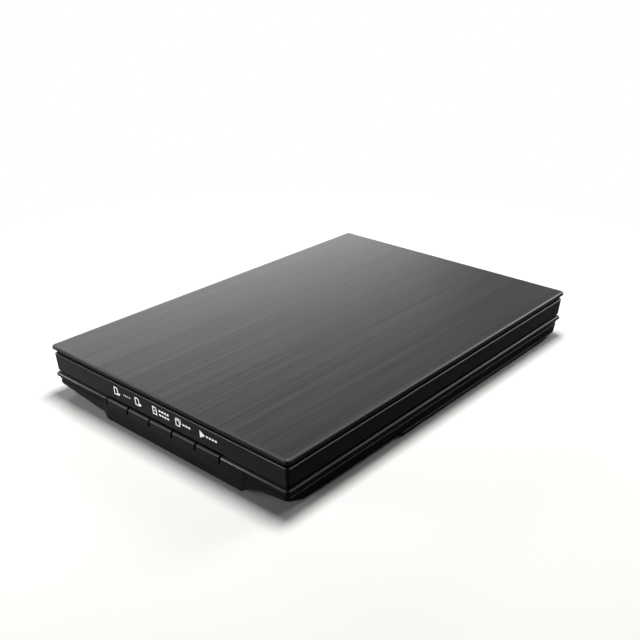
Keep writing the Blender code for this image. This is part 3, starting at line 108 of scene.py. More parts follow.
def linear(hex_colour):
    """The linear RGB value of an sRGB hex colour."""
    channels = [int(hex_colour[at : at + 2], 16) / 255 for at in (1, 3, 5)]
    return [c / 12.92 if c <= 0.04045 else ((c + 0.055) / 1.055) ** 2.4 for c in channels]


def opaque(colour):
    return (*colour, 1.0)


WHITE = (1, 1, 1, 1)


# Sizes and colours that a user would change


def length_property(name, description, default):
    return bpy.props.FloatProperty(
        name=name, description=description, default=default, min=0.0, unit="LENGTH", precision=5
    )


def shift_property(name, description, default):
    return bpy.props.FloatProperty(name=name, description=description, default=default, unit="LENGTH")


def angle_property(name, description, degrees):
    return bpy.props.FloatProperty(
        name=name, description=description, default=math.radians(degrees), subtype="ANGLE"
    )


def colour_property(name, description, hex_colour):
    return bpy.props.FloatVectorProperty(
        name=name, description=description, default=linear(hex_colour),
        subtype="COLOR", size=3, min=0.0, max=1.0,
    )


class ScannerSizes(bpy.types.PropertyGroup):
    """Sizes of the finishes and of the pieces that are added to the solids"""

    crease: angle_property("Crease", "Angle over which an edge stays crisp", 35)
    hairline_width: length_property("Hairline width", "Width of a brushed line on the lid", 0.8 * MM)
    hairline_length: length_property("Hairline length", "Length of a brushed line on the lid", 150 * MM)
    streak_width: length_property("Streak width", "Width of the broad streaks in the brushing", 4 * MM)
    case_grain: length_property("Case grain", "Size of the spark-eroded grain of the casing", 0.5 * MM)
    ink_proud: length_property("Ink", "How far a printed mark stands on its face", 0.03 * MM)
    ink_sunk: length_property("Ink below the face", "How far a printed mark reaches into its face", 0.02 * MM)
    mark_height: length_property("Mark height", "Height of a printed mark above a button", 6.4 * MM)
    mark_line: length_property("Mark line", "Width of the lines in a printed mark", 0.85 * MM)
    mark_middle: length_property("Mark middle", "Height of the marks' middle above the ground", 28.6 * MM)
    pad_edge: length_property("Pad edge", "Rounding of the foam pad's edges", 0.9 * MM)
    sheet_corner: length_property("Sheet corner", "Rounding of the backing sheet's corners", 3.0 * MM)
    foot_edge: length_property("Foot edge", "Rounding of a rubber foot's edges", 0.5 * MM)
    conductor_pitch: length_property("Conductor pitch", "Spacing of the flat cable's conductors", 1.0 * MM)


class ScannerColours(bpy.types.PropertyGroup):
    """Colours of the finishes"""

    lid: colour_property("Lid", "Brushed film on the lid", "#29292a")
    # Lighter than the lid's side, for the upper faces of its rounded edge: a painted highlight.
    lid_edge: colour_property("Lid edge", "Moulded edge of the lid", "#2e2e2f")
    lid_side: colour_property("Lid side", "Upright side of the lid", "#29292a")
    lid_frame: colour_property("Lid frame", "Moulded frame under the lid", "#0e0e0f")
    upper_case: colour_property("Upper case", "Satin band and platen bezel", "#272728")
    lower_case: colour_property("Lower case", "Matt lower case", "#202021")
    # Lighter than the case's faces, for the upward-facing rounded edges: a painted highlight.
    edge_highlight: colour_property("Case edge highlight", "Rounded edges of the casing and buttons", "#2e2e2f")
    button: colour_property("Button", "Front buttons", "#252526")
    # Near-black for the sides of the gaps between the buttons: painted shade inside the gaps.
    gap: colour_property("Button gap shade", "Painted shade on the sides of the gaps between the buttons", "#070707")
    inner: colour_property("Inner plastic", "Carriage and sensor housing", "#2a2a2b")
    ink: colour_property("Ink", "Printed marks", "#f2f2ef")
    sheet: colour_property("Sheet", "Backing sheet and calibration strip", "#efefea")
    foam: colour_property("Foam", "Foam pad", "#3b3b3c")
    rubber: colour_property("Rubber", "Feet and key mat", "#191919")
    steel: colour_property("Steel", "Plated and ground steel", "#bfc1c3")
    bronze: colour_property("Bronze", "Sintered bushes and turned brass", "#a5824b")
    acetal: colour_property("Acetal", "Gears, glide shoes and sockets", "#dcd9cf")
    board: colour_property("Board", "Solder mask", "#1d5a38")
    resin: colour_property("Resin", "Chip and lens array", "#1b1b1b")
    cable: colour_property("Cable", "Flat cable film", "#dfe3e6")
    glass: colour_property("Glass", "Platen glass", "#e6f0ec")
    acrylic: colour_property("Acrylic", "Light guide", "#eaf2f4")
    floor: colour_property("Floor", "Studio floor", "#f6f5f3")


class ScannerStudio(bpy.types.PropertyGroup):
    """The camera's place and the studio"""

    azimuth: angle_property("Azimuth", "Turn of the camera to the right", 40.517)
    elevation: angle_property("Elevation", "Rise of the camera", 24.125)
    roll: angle_property("Roll", "Turn of the picture", 0.379)
    distance: length_property("Distance", "From the scanner's middle to the camera", 751.88 * MM)
    sideways: shift_property("Sideways", "Camera's shift along the picture", -4.956 * MM)
    upwards: shift_property("Upwards", "Camera's shift up the picture", 15.731 * MM)
    lens: bpy.props.FloatProperty(
        name="Lens", description="Focal length on a 36 mm sensor", default=50.018, min=1.0, unit="CAMERA"
    )
    floor_radius: length_property("Floor radius", "Half the width of the studio floor", 4.0)
    shade_radius: length_property("Shade radius", "How far from the middle the floor shows shade", 0.55)


# Meshes


def merged_copy(node):
    """The shape of a node as one closed mesh."""
    bm = bmesh.new()
    bm.from_mesh(NODES[node].data)
    bmesh.ops.remove_doubles(bm, verts=bm.verts, dist=MERGE_GAP)
    return bm


def add_piece(name, bm, materials, body, stands_for=()):
    """A finished piece that rides on a body and stands for its solids."""
    sizes = bpy.context.scene.scanner_sizes
    mesh = bpy.data.meshes.new(name)
    bm.to_mesh(mesh)
    bm.free()
    mesh.shade_smooth()
    mesh.set_sharp_from_angle(angle=sizes.crease)
    for material in materials:
        mesh.materials.append(material)
    piece = bpy.data.objects.new(name, mesh)
    bpy.context.scene.collection.objects.link(piece)
    normals = piece.modifiers.new("Even shading", "WEIGHTED_NORMAL")
    normals.keep_sharp = True
    if body:
        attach(piece, body)
    if stands_for:
        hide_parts(*stands_for)
    return piece


def dress_copy(node, material, name=None, edges=()):
    """A smoothly shaded copy of a node, in its place, whose rounded edges may have their own finishes."""
    body = NODES[node]["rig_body"]
    bm = merged_copy(node)
    if edges:
        mark_edges(bm)
    add_piece(name or f"{node}_dressed", bm, [material, *edges], body, [node])


def finish_node(node, material):
    """A node whose shape is right keeps it and gets its finish."""
    NODES[node].material_slots[0].material = material


def rounded_block(low, high, edge=0.0, steps=1):
    """A block between two corners, whose edges are rounded if they have a radius."""
    low, high = Vector(low), Vector(high)
    bm = bmesh.new()
    bmesh.ops.create_cube(bm, size=1.0)
    bmesh.ops.scale(bm, vec=high - low, verts=bm.verts)
    bmesh.ops.translate(bm, vec=(low + high) / 2, verts=bm.verts)
    if edge:
        round_edges(bm, bm.edges[:], edge, steps)
    return bm


# Heights above the ground at which the casing's edges change their finish
RAIL_TOP, LIP_LOW, RIM_LOW = 6 * MM, 14 * MM, 30 * MM
# How far up the faces of a rounded edge look: from its start, its upper part only, and a level face
EDGE_START, UPPER_START, LEVEL = 0.2, 0.45, 0.99
# A face at a corner looks both ways by more than this share
CORNER_SHARE = 0.5


def mark_edges(bm):
    """Gives the rounded edges the second finish, and those of the rails by the ground the third. Below
    the lip that is only along the sides, and on the lip and at the front only the upper part. These
    finishes are lighter and glossier than the faces: a painted highlight along the upward-facing edges."""
    for face in bm.faces:
        x, y = abs(face.normal.x), abs(face.normal.y)
        height = face.calc_center_median().z
        below = height < LIP_LOW
        least = EDGE_START if below or (height > RIM_LOW and x > y) else UPPER_START
        rounded = least < face.normal.z < LEVEL and min(x, y) < CORNER_SHARE * max(x, y)
        if not rounded or (below and x < y):
            face.material_index = 0
        else:
            face.material_index = 2 if height < RAIL_TOP else 1


def round_edges(bm, edges, radius, steps):
    bmesh.ops.bevel(
        bm, geom=edges, offset=radius, offset_type="OFFSET", affect="EDGES",
        segments=steps, profile=0.5, material=-1, clamp_overlap=True,
    )


def flat_bar(bm, x, y, width, height):
    made = bmesh.ops.create_grid(bm, x_segments=1, y_segments=1, size=0.5)["verts"]
    bmesh.ops.scale(bm, vec=(width, height, 1), verts=made)
    bmesh.ops.translate(bm, vec=(x, y, 0), verts=made)
    return made


def thicken(bm, thick):
    """Gives flat marks their thickness, upwards from where they lie."""
    lifted = bmesh.ops.extrude_face_region(bm, geom=bm.faces[:], use_keep_orig=True)["geom"]
    verts = [v for v in lifted if isinstance(v, bmesh.types.BMVert)]
    bmesh.ops.translate(bm, vec=(0, 0, thick), verts=verts)


# Materials


def add_node(tree, kind, inputs=None, **settings):
    """Adds a node with its settings. An input takes a value, or the socket that it is linked to."""
    node = tree.nodes.new(kind)
    for name, value in settings.items():
        setattr(node, name, value)
    for name, value in (inputs or {}).items():
        if isinstance(value, bpy.types.NodeSocket):
            tree.links.new(value, node.inputs[name])
        else:
            node.inputs[name].default_value = value
    return node


# Sockets of a colour mix, whose names repeat for each kind of value
MIX_SHARE, MIX_FROM, MIX_TO, MIX_RESULT = 0, 6, 7, 2


def shaded(colour, share):
    """A colour, lighter or darker by a share."""
    return opaque([min(1.0, c * share) for c in colour])


def new_material(name, **values):
    """A material with its shader's constant values, and the place of a point on the piece."""
    material = bpy.data.materials.new(name)
    material.use_nodes = True
    tree = material.node_tree
    shader = tree.nodes["Principled BSDF"]
    for socket, value in values.items():
        shader.inputs[socket.replace("_", " ")].default_value = value
    place = add_node(tree, "ShaderNodeTexCoord").outputs["Object"]
    return material, tree, shader, place


def set_look(tree, shader, tones=None, gloss=None, relief=None):
    """Links a look to the shader. Tones are a share and the colours that it mixes, gloss is a share and
    the roughnesses that it runs between, and relief is a height and its depth in metres."""
    if tones:
        share, first, second = tones
        colour = add_node(
            tree, "ShaderNodeMix", {MIX_SHARE: share, MIX_FROM: first, MIX_TO: second}, data_type="RGBA"
        )
        tree.links.new(colour.outputs[MIX_RESULT], shader.inputs["Base Color"])
    if gloss:
        share, least, most = gloss
        roughness = add_node(tree, "ShaderNodeMapRange", {"Value": share, "To Min": least, "To Max": most})
        tree.links.new(roughness.outputs[0], shader.inputs["Roughness"])
    if relief:
        height, depth = relief
        bump = add_node(tree, "ShaderNodeBump", {"Height": height, "Distance": depth, "Strength": 1.0})
        tree.links.new(bump.outputs["Normal"], shader.inputs["Normal"])


# Depths of a fine relief: of a film or paint, of a smooth moulding, and of a rough one
FILM, SMOOTH, ROUGH = 0.004 * MM, 0.005 * MM, 0.01 * MM


def brushed_film():
    """Hairline-brushed film on the lid: long fine lines from front to back, over broad soft streaks.
    The lines give a dark metallic sheen that runs sideways from the light. Real hairlines are about
    0.1 mm wide, which is too fine to show, so they are drawn eight times as wide."""
    sizes = bpy.context.scene.scanner_sizes
    tone = bpy.context.scene.scanner_colours.lid
    material, tree, shader, place = new_material(
        "Hairline brushed film", Metallic=1.0, Specular_Tint=(0.85, 0.85, 0.85, 1.0)
    )
    fine = (1 / sizes.hairline_width, 1 / sizes.hairline_length, 1 / sizes.hairline_length)
    broad = (1 / sizes.streak_width, 1 / (3 * sizes.hairline_length), 1 / sizes.hairline_length)
    along = add_node(tree, "ShaderNodeMapping", {"Vector": place, "Scale": fine})
    lines = add_node(
        tree, "ShaderNodeTexNoise",
        {"Vector": along.outputs[0], "Scale": 1.0, "Detail": 3.0, "Roughness": 0.65},
    ).outputs["Fac"]
    across = add_node(tree, "ShaderNodeMapping", {"Vector": place, "Scale": broad})
    streaks = add_node(
        tree, "ShaderNodeTexNoise",
        {"Vector": across.outputs[0], "Scale": 1.0, "Detail": 2.0, "Roughness": 0.5},
    ).outputs["Fac"]
    streak_share = 0.4
    both = add_node(
        tree, "ShaderNodeMath", {0: streaks, 1: streak_share, 2: lines}, operation="MULTIPLY_ADD"
    )
    share = add_node(
        tree, "ShaderNodeMapRange", {"Value": both.outputs[0], "From Min": 0.55, "From Max": 0.85}
    )
    set_look(
        tree, shader, tones=(share.outputs[0], shaded(tone, 0.5), shaded(tone, 1.5)),
        gloss=(lines, 0.34, 0.44), relief=(lines, 0.015 * MM),
    )
    return material


def moulded_plastic(name, tone, roughness, specular, grain):
    """Moulded ABS from a spark-eroded tool: an even tone with a fine grain that breaks up its gloss,
    and faint cloudy flow marks. The grain is about 0.1 mm and is drawn coarser, so that it shows."""
    material, tree, shader, place = new_material(name, IOR=1.5, Specular_IOR_Level=specular)
    flow_mark = 60 * MM
    pits = add_node(
        tree, "ShaderNodeTexNoise", {"Vector": place, "Scale": 1 / grain, "Detail": 3.0, "Roughness": 0.6}
    ).outputs["Fac"]
    flow = add_node(
        tree, "ShaderNodeTexNoise",
        {"Vector": place, "Scale": 1 / flow_mark, "Detail": 2.0, "Roughness": 0.5},
    ).outputs["Fac"]
    mixed = add_node(tree, "ShaderNodeMath", {0: pits, 1: flow}, operation="MULTIPLY")
    share = add_node(
        tree, "ShaderNodeMapRange", {"Value": mixed.outputs[0], "From Min": 0.1, "From Max": 0.42}
    )
    set_look(
        tree, shader, tones=(share.outputs[0], shaded(tone, 0.9), shaded(tone, 1.1)),
        gloss=(pits, roughness - 0.05, roughness + 0.07), relief=(pits, ROUGH),
    )
    return material


def float_glass():
    """Float glass: clear and flat, faintly green, with a film of dust that takes a little of its polish."""
    tone = bpy.context.scene.scanner_colours.glass
    material, tree, shader, place = new_material(
        "Float glass", IOR=1.52, Transmission_Weight=1.0, Base_Color=opaque(tone)
    )
    smear = 4 * MM
    dust = add_node(tree, "ShaderNodeTexNoise", {"Vector": place, "Scale": 1 / smear, "Detail": 4.0})
    set_look(tree, shader, gloss=(dust.outputs["Fac"], 0.0, 0.04))
    return material


def clear_acrylic():
    """Moulded acrylic: water-clear with a slight haze from the tool, so that it glows along its length."""
    tone = bpy.context.scene.scanner_colours.acrylic
    material, tree, shader, place = new_material(
        "Moulded acrylic", IOR=1.49, Transmission_Weight=0.7, Base_Color=opaque(tone)
    )
    patch = 2 * MM
    haze = add_node(tree, "ShaderNodeTexNoise", {"Vector": place, "Scale": 1 / patch, "Detail": 3.0})
    set_look(tree, shader, gloss=(haze.outputs["Fac"], 0.08, 0.22))
    return material


def speckled(name, tone, roughness, speck, contrast, depth, metallic=0.0, specular=0.5):
    """A surface with an even speckle: paint, paper-white film, rubber, sintered metal or resin.
    The speckle gives each its own dry or dusty look."""
    material, tree, shader, place = new_material(name, Metallic=metallic, Specular_IOR_Level=specular)
    specks = add_node(
        tree, "ShaderNodeTexNoise", {"Vector": place, "Scale": 1 / speck, "Detail": 4.0, "Roughness": 0.7}
    ).outputs["Fac"]
    share = add_node(tree, "ShaderNodeMapRange", {"Value": specks, "From Min": 0.3, "From Max": 0.7})
    set_look(
        tree, shader, tones=(share.outputs[0], shaded(tone, 1 - contrast), shaded(tone, 1 + contrast)),
        gloss=(specks, roughness - 0.06, roughness + 0.06), relief=(specks, depth),
    )
    return material


def ground_steel(name, line, across):
    """Ground or drawn steel: a bright metal whose fine tool lines draw the highlights out across them.
    The lines are under 0.1 mm and are drawn coarser, so that they show."""
    tone = bpy.context.scene.scanner_colours.steel
    material, tree, shader, place = new_material(name, Metallic=1.0)
    length = 20 * line
    stretch = [1 / line if axis == across else 1 / length for axis in "XYZ"]
    turned = add_node(tree, "ShaderNodeMapping", {"Vector": place, "Scale": stretch})
    lines = add_node(
        tree, "ShaderNodeTexNoise",
        {"Vector": turned.outputs[0], "Scale": 1.0, "Detail": 3.0, "Roughness": 0.6},
    ).outputs["Fac"]
    set_look(
        tree, shader, tones=(lines, shaded(tone, 0.8), shaded(tone, 1.1)),
        gloss=(lines, 0.18, 0.36), relief=(lines, SMOOTH),
    )
    return material


def cell_foam():
    """Open-cell polyurethane foam: dry and dark, pitted by cells of about 0.6 mm, drawn at 0.9 mm."""
    tone = bpy.context.scene.scanner_colours.foam
    material, tree, shader, place = new_material("Open-cell foam", Specular_IOR_Level=0.1, Roughness=0.95)
    cell = 0.9 * MM
    pits = add_node(
        tree, "ShaderNodeTexVoronoi", {"Vector": place, "Scale": 1 / cell}, feature="F1"
    ).outputs["Distance"]
    # Each cell is darkest at its deepest point: painted shade in the cells.
    set_look(tree, shader, tones=(pits, shaded(tone, 0.45), shaded(tone, 1.3)), relief=(pits, 0.3 * MM))
    return material


def circuit_board():
    """Glass-epoxy board under solder mask: a satin green, with copper runs 0.4 mm wide that show through
    it as lighter lines, drawn at 0.8 mm."""
    tone = bpy.context.scene.scanner_colours.board
    material, tree, shader, place = new_material("Solder-masked board", IOR=1.55, Specular_IOR_Level=0.4)
    block, runs_per_block = 3.2 * MM, 4.0
    runs = add_node(
        tree, "ShaderNodeTexVoronoi", {"Vector": place, "Scale": 1 / block, "Randomness": 0.9},
        feature="F1", distance="CHEBYCHEV",
    )
    rings = add_node(
        tree, "ShaderNodeMath", {0: runs.outputs["Distance"], 1: runs_per_block}, operation="MULTIPLY"
    )
    waves = add_node(tree, "ShaderNodeMath", {0: rings.outputs[0], 1: 1.0}, operation="PINGPONG").outputs[0]
    edge = add_node(
        tree, "ShaderNodeMapRange", {"Value": waves, "From Min": 0.42, "From Max": 0.55}
    ).outputs[0]
    set_look(
        tree, shader, tones=(edge, shaded(tone, 0.8), shaded(tone, 1.6)),
        gloss=(waves, 0.30, 0.42), relief=(edge, 0.03 * MM),
    )
    return material


def striped_cable(name, across):
    """Polyester flat cable: white film, drawn tight over bright copper conductors that show as stripes."""
    sizes = bpy.context.scene.scanner_sizes
    film, copper = bpy.context.scene.scanner_colours.cable, linear("#b9a58c")
    material, tree, shader, place = new_material(name, IOR=1.6, Specular_IOR_Level=0.5)
    axes = add_node(tree, "ShaderNodeSeparateXYZ", {"Vector": place})
    counted = add_node(
        tree, "ShaderNodeMath", {0: axes.outputs[across], 1: 1 / sizes.conductor_pitch}, operation="MULTIPLY"
    )
    waves = add_node(
        tree, "ShaderNodeMath", {0: counted.outputs[0], 1: 0.5}, operation="PINGPONG"
    ).outputs[0]
    stripe = add_node(tree, "ShaderNodeMapRange", {"Value": waves, "From Min": 0.2, "From Max": 0.28})
    set_look(
        tree, shader, tones=(stripe.outputs[0], opaque(film), opaque(copper)),
        gloss=(waves, 0.32, 0.42), relief=(waves, 0.08 * MM),
    )
    return material


def lens_rods():
    """Lens array: two rows of clear rods, 0.6 mm apart and drawn at 0.9 mm, set in black resin."""
    resin, clear = bpy.context.scene.scanner_colours.resin, linear("#8fa3a6")
    material, tree, shader, place = new_material("Rod lenses in resin", Specular_IOR_Level=0.5)
    pitch = 0.9 * MM
    rods = add_node(
        tree, "ShaderNodeTexVoronoi", {"Vector": place, "Scale": 1 / pitch, "Randomness": 0.0}, feature="F1"
    )
    share = add_node(
        tree, "ShaderNodeMapRange", {"Value": rods.outputs["Distance"], "From Min": 0.35, "From Max": 0.45}
    ).outputs[0]
    set_look(tree, shader, tones=(share, opaque(clear), opaque(resin)), gloss=(share, 0.08, 0.5))
    return material


def screen_ink():
    """Screen-printed ink: a dense satin white with the faint unevenness of the mesh."""
    tone = bpy.context.scene.scanner_colours.ink
    return speckled("Screen-printed ink", tone, roughness=0.5, speck=0.6 * MM, contrast=0.04, depth=FILM)


# Pieces


class PieceOperator:
    """What all the operators share"""

    bl_options = {"REGISTER", "UNDO"}

    @property
    def sizes(self):
        return bpy.context.scene.scanner_sizes

    @property
    def colours(self):
        return bpy.context.scene.scanner_colours

    def plastic(self, name, tone, roughness, specular):
        """Plastic with the casing's grain."""
        return moulded_plastic(name, tone, roughness, specular, self.sizes.case_grain)

    def inner_plastic(self, name, roughness):
        """The plain dark plastic of the pieces inside, with a coarser grain."""
        return moulded_plastic(name, self.colours.inner, roughness, specular=0.3, grain=0.8 * MM)

    def acetal(self, name, roughness, speck, contrast):
        return speckled(name, self.colours.acetal, roughness, speck, contrast, SMOOTH)


class SCANNER_OT_lid(PieceOperator, bpy.types.Operator):
    """Dress the lid's brushed panel and its moulded frame"""

    bl_idname = "scanner.lid"
    bl_label = "Lid"

    def execute(self, context):
        bm = merged_copy("lid_panel")
        top = max(v.co.z for v in bm.verts)
        # The upper faces of the rounded edge take a lighter, glossier finish than those below: a painted
        # highlight.
        for face in bm.faces:
            flat = all(top - v.co.z < MERGE_GAP for v in face.verts)
            upper = face.normal.z > 0.5
            face.material_index = 0 if flat else 1 if upper else 2
        edge = self.plastic("Satin lid edge with painted highlight", self.colours.lid_edge, roughness=0.34, specular=0.4)
        side = self.plastic("Matt lid side", self.colours.lid_side, roughness=0.42, specular=0.01)
        add_piece("lid_top", bm, [brushed_film(), edge, side], "lid", ["lid_panel"])
        matt = self.plastic("Matt lid frame", self.colours.lid_frame, roughness=0.55, specular=0.02)
        dress_copy("lid_frame", matt, "lid_inner_frame")
        return {"FINISHED"}


class SCANNER_OT_casing(PieceOperator, bpy.types.Operator):
    """Dress the upper and the lower case"""

    bl_idname = "scanner.casing"
    bl_label = "Casing"

    def execute(self, context):
        satin = self.plastic("Satin band", self.colours.upper_case, roughness=0.36, specular=0.005)
        matt = self.plastic("Matt lower case", self.colours.lower_case, roughness=0.42, specular=0.005)
        # The rim and the rounded edges take a lighter colour and more gloss than the faces: a painted
        # highlight.
        rim = self.plastic("Glossy rim with painted highlight", self.colours.edge_highlight, roughness=0.36, specular=1.0)
        edge = self.plastic("Glossy case edges with painted highlight", self.colours.edge_highlight, roughness=0.40, specular=0.35)
        rail_highlight = self.plastic("Rail edges with painted highlight", self.colours.edge_highlight, roughness=0.45, specular=0.15)
        dress_copy("upper_case", satin, "band_and_bezel", [rim])
        dress_copy("lower_case", matt, "lower_shell", [edge, rail_highlight])
        return {"FINISHED"}


class SCANNER_OT_buttons(PieceOperator, bpy.types.Operator):
    """Dress the five front buttons"""

    bl_idname = "scanner.buttons"
    bl_label = "Buttons"

    def execute(self, context):
        satin = self.plastic("Satin buttons", self.colours.button, roughness=0.40, specular=0.005)
        # The rounded edges take a lighter colour and more gloss than the faces: a painted highlight.
        edge = self.plastic("Glossy button edges with painted highlight", self.colours.edge_highlight, roughness=0.40, specular=0.35)
        # The gaps' sides are near-black: painted shade inside the gaps between the buttons.
        gap = self.plastic("Painted shade in the button gaps", self.colours.gap, roughness=0.6, specular=0.005)
        for number in range(1, 6):
            node = f"button_{number}"
            bm = merged_copy(node)
            mark_edges(bm)
            # Painted shade: the faces that look sideways into the gaps take the near-black finish.
            for face in bm.faces:
                sideways = abs(face.normal.x) > 0.9
                if sideways:
                    face.material_index = 2
            body = NODES[node]["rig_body"]
            add_piece(f"key_{number}", bm, [satin, edge, gap], body, [node])
        return {"FINISHED"}


class SCANNER_OT_front_marks(PieceOperator, bpy.types.Operator):
    """Print a plain pictogram above each button"""

    bl_idname = "scanner.front_marks"
    bl_label = "Front marks"

    def page(self, bm, x, y, width, height, fold):
        """An outlined sheet with a folded corner."""
        made = flat_bar(bm, x, y, width, height)
        corner = max(made, key=lambda v: v.co.x + v.co.y)
        bmesh.ops.bevel(
            bm, geom=[corner], offset=fold, offset_type="OFFSET", affect="VERTICES",
            segments=1, profile=0.5, material=-1,
        )
        face = min(bm.faces, key=lambda f: (f.calc_center_median() - Vector((x, y, 0))).length)
        bmesh.ops.inset_region(
            bm, faces=[face], thickness=self.sizes.mark_line, use_boundary=True, use_even_offset=True
        )
        bmesh.ops.delete(bm, geom=[face], context="FACES_ONLY")

    def dart(self, bm, x, y, radius, turn):
        """A filled triangle that points to an angle."""
        made = bmesh.ops.create_circle(bm, cap_ends=True, segments=3, radius=radius)["verts"]
        bmesh.ops.rotate(bm, matrix=Matrix.Rotation(turn - math.pi / 2, 3, "Z"), verts=made)
        bmesh.ops.translate(bm, vec=(x, y, 0), verts=made)

    def dot(self, bm, x, y, radius):
        sides = 20
        made = bmesh.ops.create_circle(bm, cap_ends=True, segments=sides, radius=radius)["verts"]
        bmesh.ops.translate(bm, vec=(x, y, 0), verts=made)

    def draw(self, bm):
        """The marks, drawn flat about the middle of the front, with their middle at zero height."""
        line = self.sizes.mark_line
        tall = self.sizes.mark_height
        wide = 0.72 * tall
        fold, dash, bold, thin = 0.3 * wide, 0.44 * wide, 1.8 * line, 0.8 * line
        spacing = 0.62  # of the dashes, in widths of a sheet
        first, second, third, fourth, fifth = [
            sum(c.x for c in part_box(f"button_{n}")) / 2 for n in range(1, 6)
        ]
        # A sheet that is stored, and one that is sent on, joined by a row of dashes
        self.page(bm, first - 0.4 * line, 0, wide, tall, fold)
        self.dart(bm, first + 0.62 * wide, -0.3 * tall, bold, -math.pi / 2)
        for step in (-1.5, -0.5, 0.5, 1.5):
            flat_bar(bm, (first + second) / 2 + 2.6 * line * step, -0.05 * tall, 1.3 * line, line)
        self.page(bm, second - 0.4 * line, 0, wide, tall, fold)
        self.dot(bm, second + 0.62 * wide, -0.3 * tall, 1.3 * line)
        # A sheet under a scan line, with rows of dashes
        self.page(bm, third - 1.1 * wide, 0, wide, tall, fold)
        flat_bar(bm, third - 1.1 * wide, 0, 0.4 * wide, thin)
        for row in (-0.5, 0.5):
            for step in range(4):
                flat_bar(bm, third + (0.1 + spacing * step) * wide, row * 0.52 * tall, dash, bold)
        # Two sheets, one before the other
        self.page(bm, fourth - 1.1 * wide, -0.08 * tall, wide, 0.84 * tall, fold)
        flat_bar(bm, fourth - 0.98 * wide, 0.46 * tall, wide, thin)
        flat_bar(bm, fourth - 0.44 * wide, 0.12 * tall, thin, 0.6 * tall)
        for step in range(3):
            flat_bar(bm, fourth + (0.25 + spacing * step) * wide, 0, dash, bold)
        # A sheet on its way
        self.dart(bm, fifth - 1.1 * wide, 0, 0.55 * tall, 0)
        for step in range(4):
            flat_bar(bm, fifth + (0.05 + spacing * step) * wide, 0, dash, bold)

    def execute(self, context):
        bm = bmesh.new()
        self.draw(bm)
        bmesh.ops.recalc_face_normals(bm, faces=bm.faces)
        for face in bm.faces:
            if face.normal.z < 0:
                face.normal_flip()
        thicken(bm, self.sizes.ink_proud + self.sizes.ink_sunk)
        bmesh.ops.recalc_face_normals(bm, faces=bm.faces)
        # The band's front face is the foremost that looks forward, and leans in towards its foot
        least = 0.997
        facing = [f for f in NODES["upper_case"].data.polygons if -f.normal.y > least]
        front = min(facing, key=lambda f: f.center.y)
        lean = -front.normal.z / front.normal.y
        middle = self.sizes.mark_middle
        face_y = front.center.y + lean * (middle - front.center.z)
        place = Matrix(
            ((1, 0, 0, 0), (0, lean, -1, face_y + self.sizes.ink_sunk), (0, 1, 0, middle), (0, 0, 0, 1))
        )
        bmesh.ops.transform(bm, matrix=place, verts=bm.verts)
        bmesh.ops.recalc_face_normals(bm, faces=bm.faces)
        add_piece("front_marks", bm, [screen_ink()], "base")
        return {"FINISHED"}


class SCANNER_OT_platen(PieceOperator, bpy.types.Operator):
    """Finish the platen glass and the white strip, and print the corner mark and the ticks on the bezel"""

    bl_idname = "scanner.platen"
    bl_label = "Platen"

    def execute(self, context):
        finish_node("platen_glass", float_glass())
        white = speckled(
            "Matt white paint", self.colours.sheet, roughness=0.7, speck=0.8 * MM, contrast=0.02, depth=FILM
        )
        finish_node("calibration_strip", white)
        bezel_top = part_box("upper_case")[1].z
        sheet_low, sheet_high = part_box("backing_sheet")
        bm = bmesh.new()
        dart_radius, dart_gap, dart_turn = 3.2 * MM, 5 * MM, math.radians(135)
        made = bmesh.ops.create_circle(bm, cap_ends=True, segments=3, radius=dart_radius)["verts"]
        bmesh.ops.rotate(bm, matrix=Matrix.Rotation(dart_turn, 3, "Z"), verts=made)
        bmesh.ops.translate(bm, vec=(sheet_high.x + dart_gap, sheet_high.y + dart_gap, 0), verts=made)
        tick_length, tick_line, tick_gap = 5 * MM, 0.5 * self.sizes.mark_line, 6.5 * MM
        for share in (0.36, 0.55, 0.77, 0.93):
            reach = sheet_high.y + (sheet_low.y - sheet_high.y) * share
            flat_bar(bm, sheet_high.x + tick_gap, reach, tick_length, tick_line)
        thicken(bm, self.sizes.ink_proud + self.sizes.ink_sunk)
        bmesh.ops.translate(bm, vec=(0, 0, bezel_top - self.sizes.ink_sunk), verts=bm.verts)
        bmesh.ops.recalc_face_normals(bm, faces=bm.faces)
        add_piece("bezel_marks", bm, [screen_ink()], "base")
        return {"FINISHED"}


class SCANNER_OT_lid_pad(PieceOperator, bpy.types.Operator):
    """Make the foam pad and the white backing sheet under the lid"""

    bl_idname = "scanner.lid_pad"
    bl_label = "Lid pad"

    def execute(self, context):
        low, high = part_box("foam_pad")
        bm = rounded_block(low, high, self.sizes.pad_edge, steps=4)
        pad = add_piece("foam_cushion", bm, [cell_foam()], "lid", ["foam_pad"])
        low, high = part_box("backing_sheet")
        bm = rounded_block(low, high)
        upright = [e for e in bm.edges if abs(e.verts[0].co.z - e.verts[1].co.z) > MERGE_GAP]
        round_edges(bm, upright, self.sizes.sheet_corner, steps=6)
        film = speckled(
            "White polyester film", self.colours.sheet,
            roughness=0.38, speck=12 * MM, contrast=0.015, depth=ROUGH,
        )
        add_piece("white_backing", bm, [film], "lid", ["backing_sheet"])
        return {"FINISHED"}


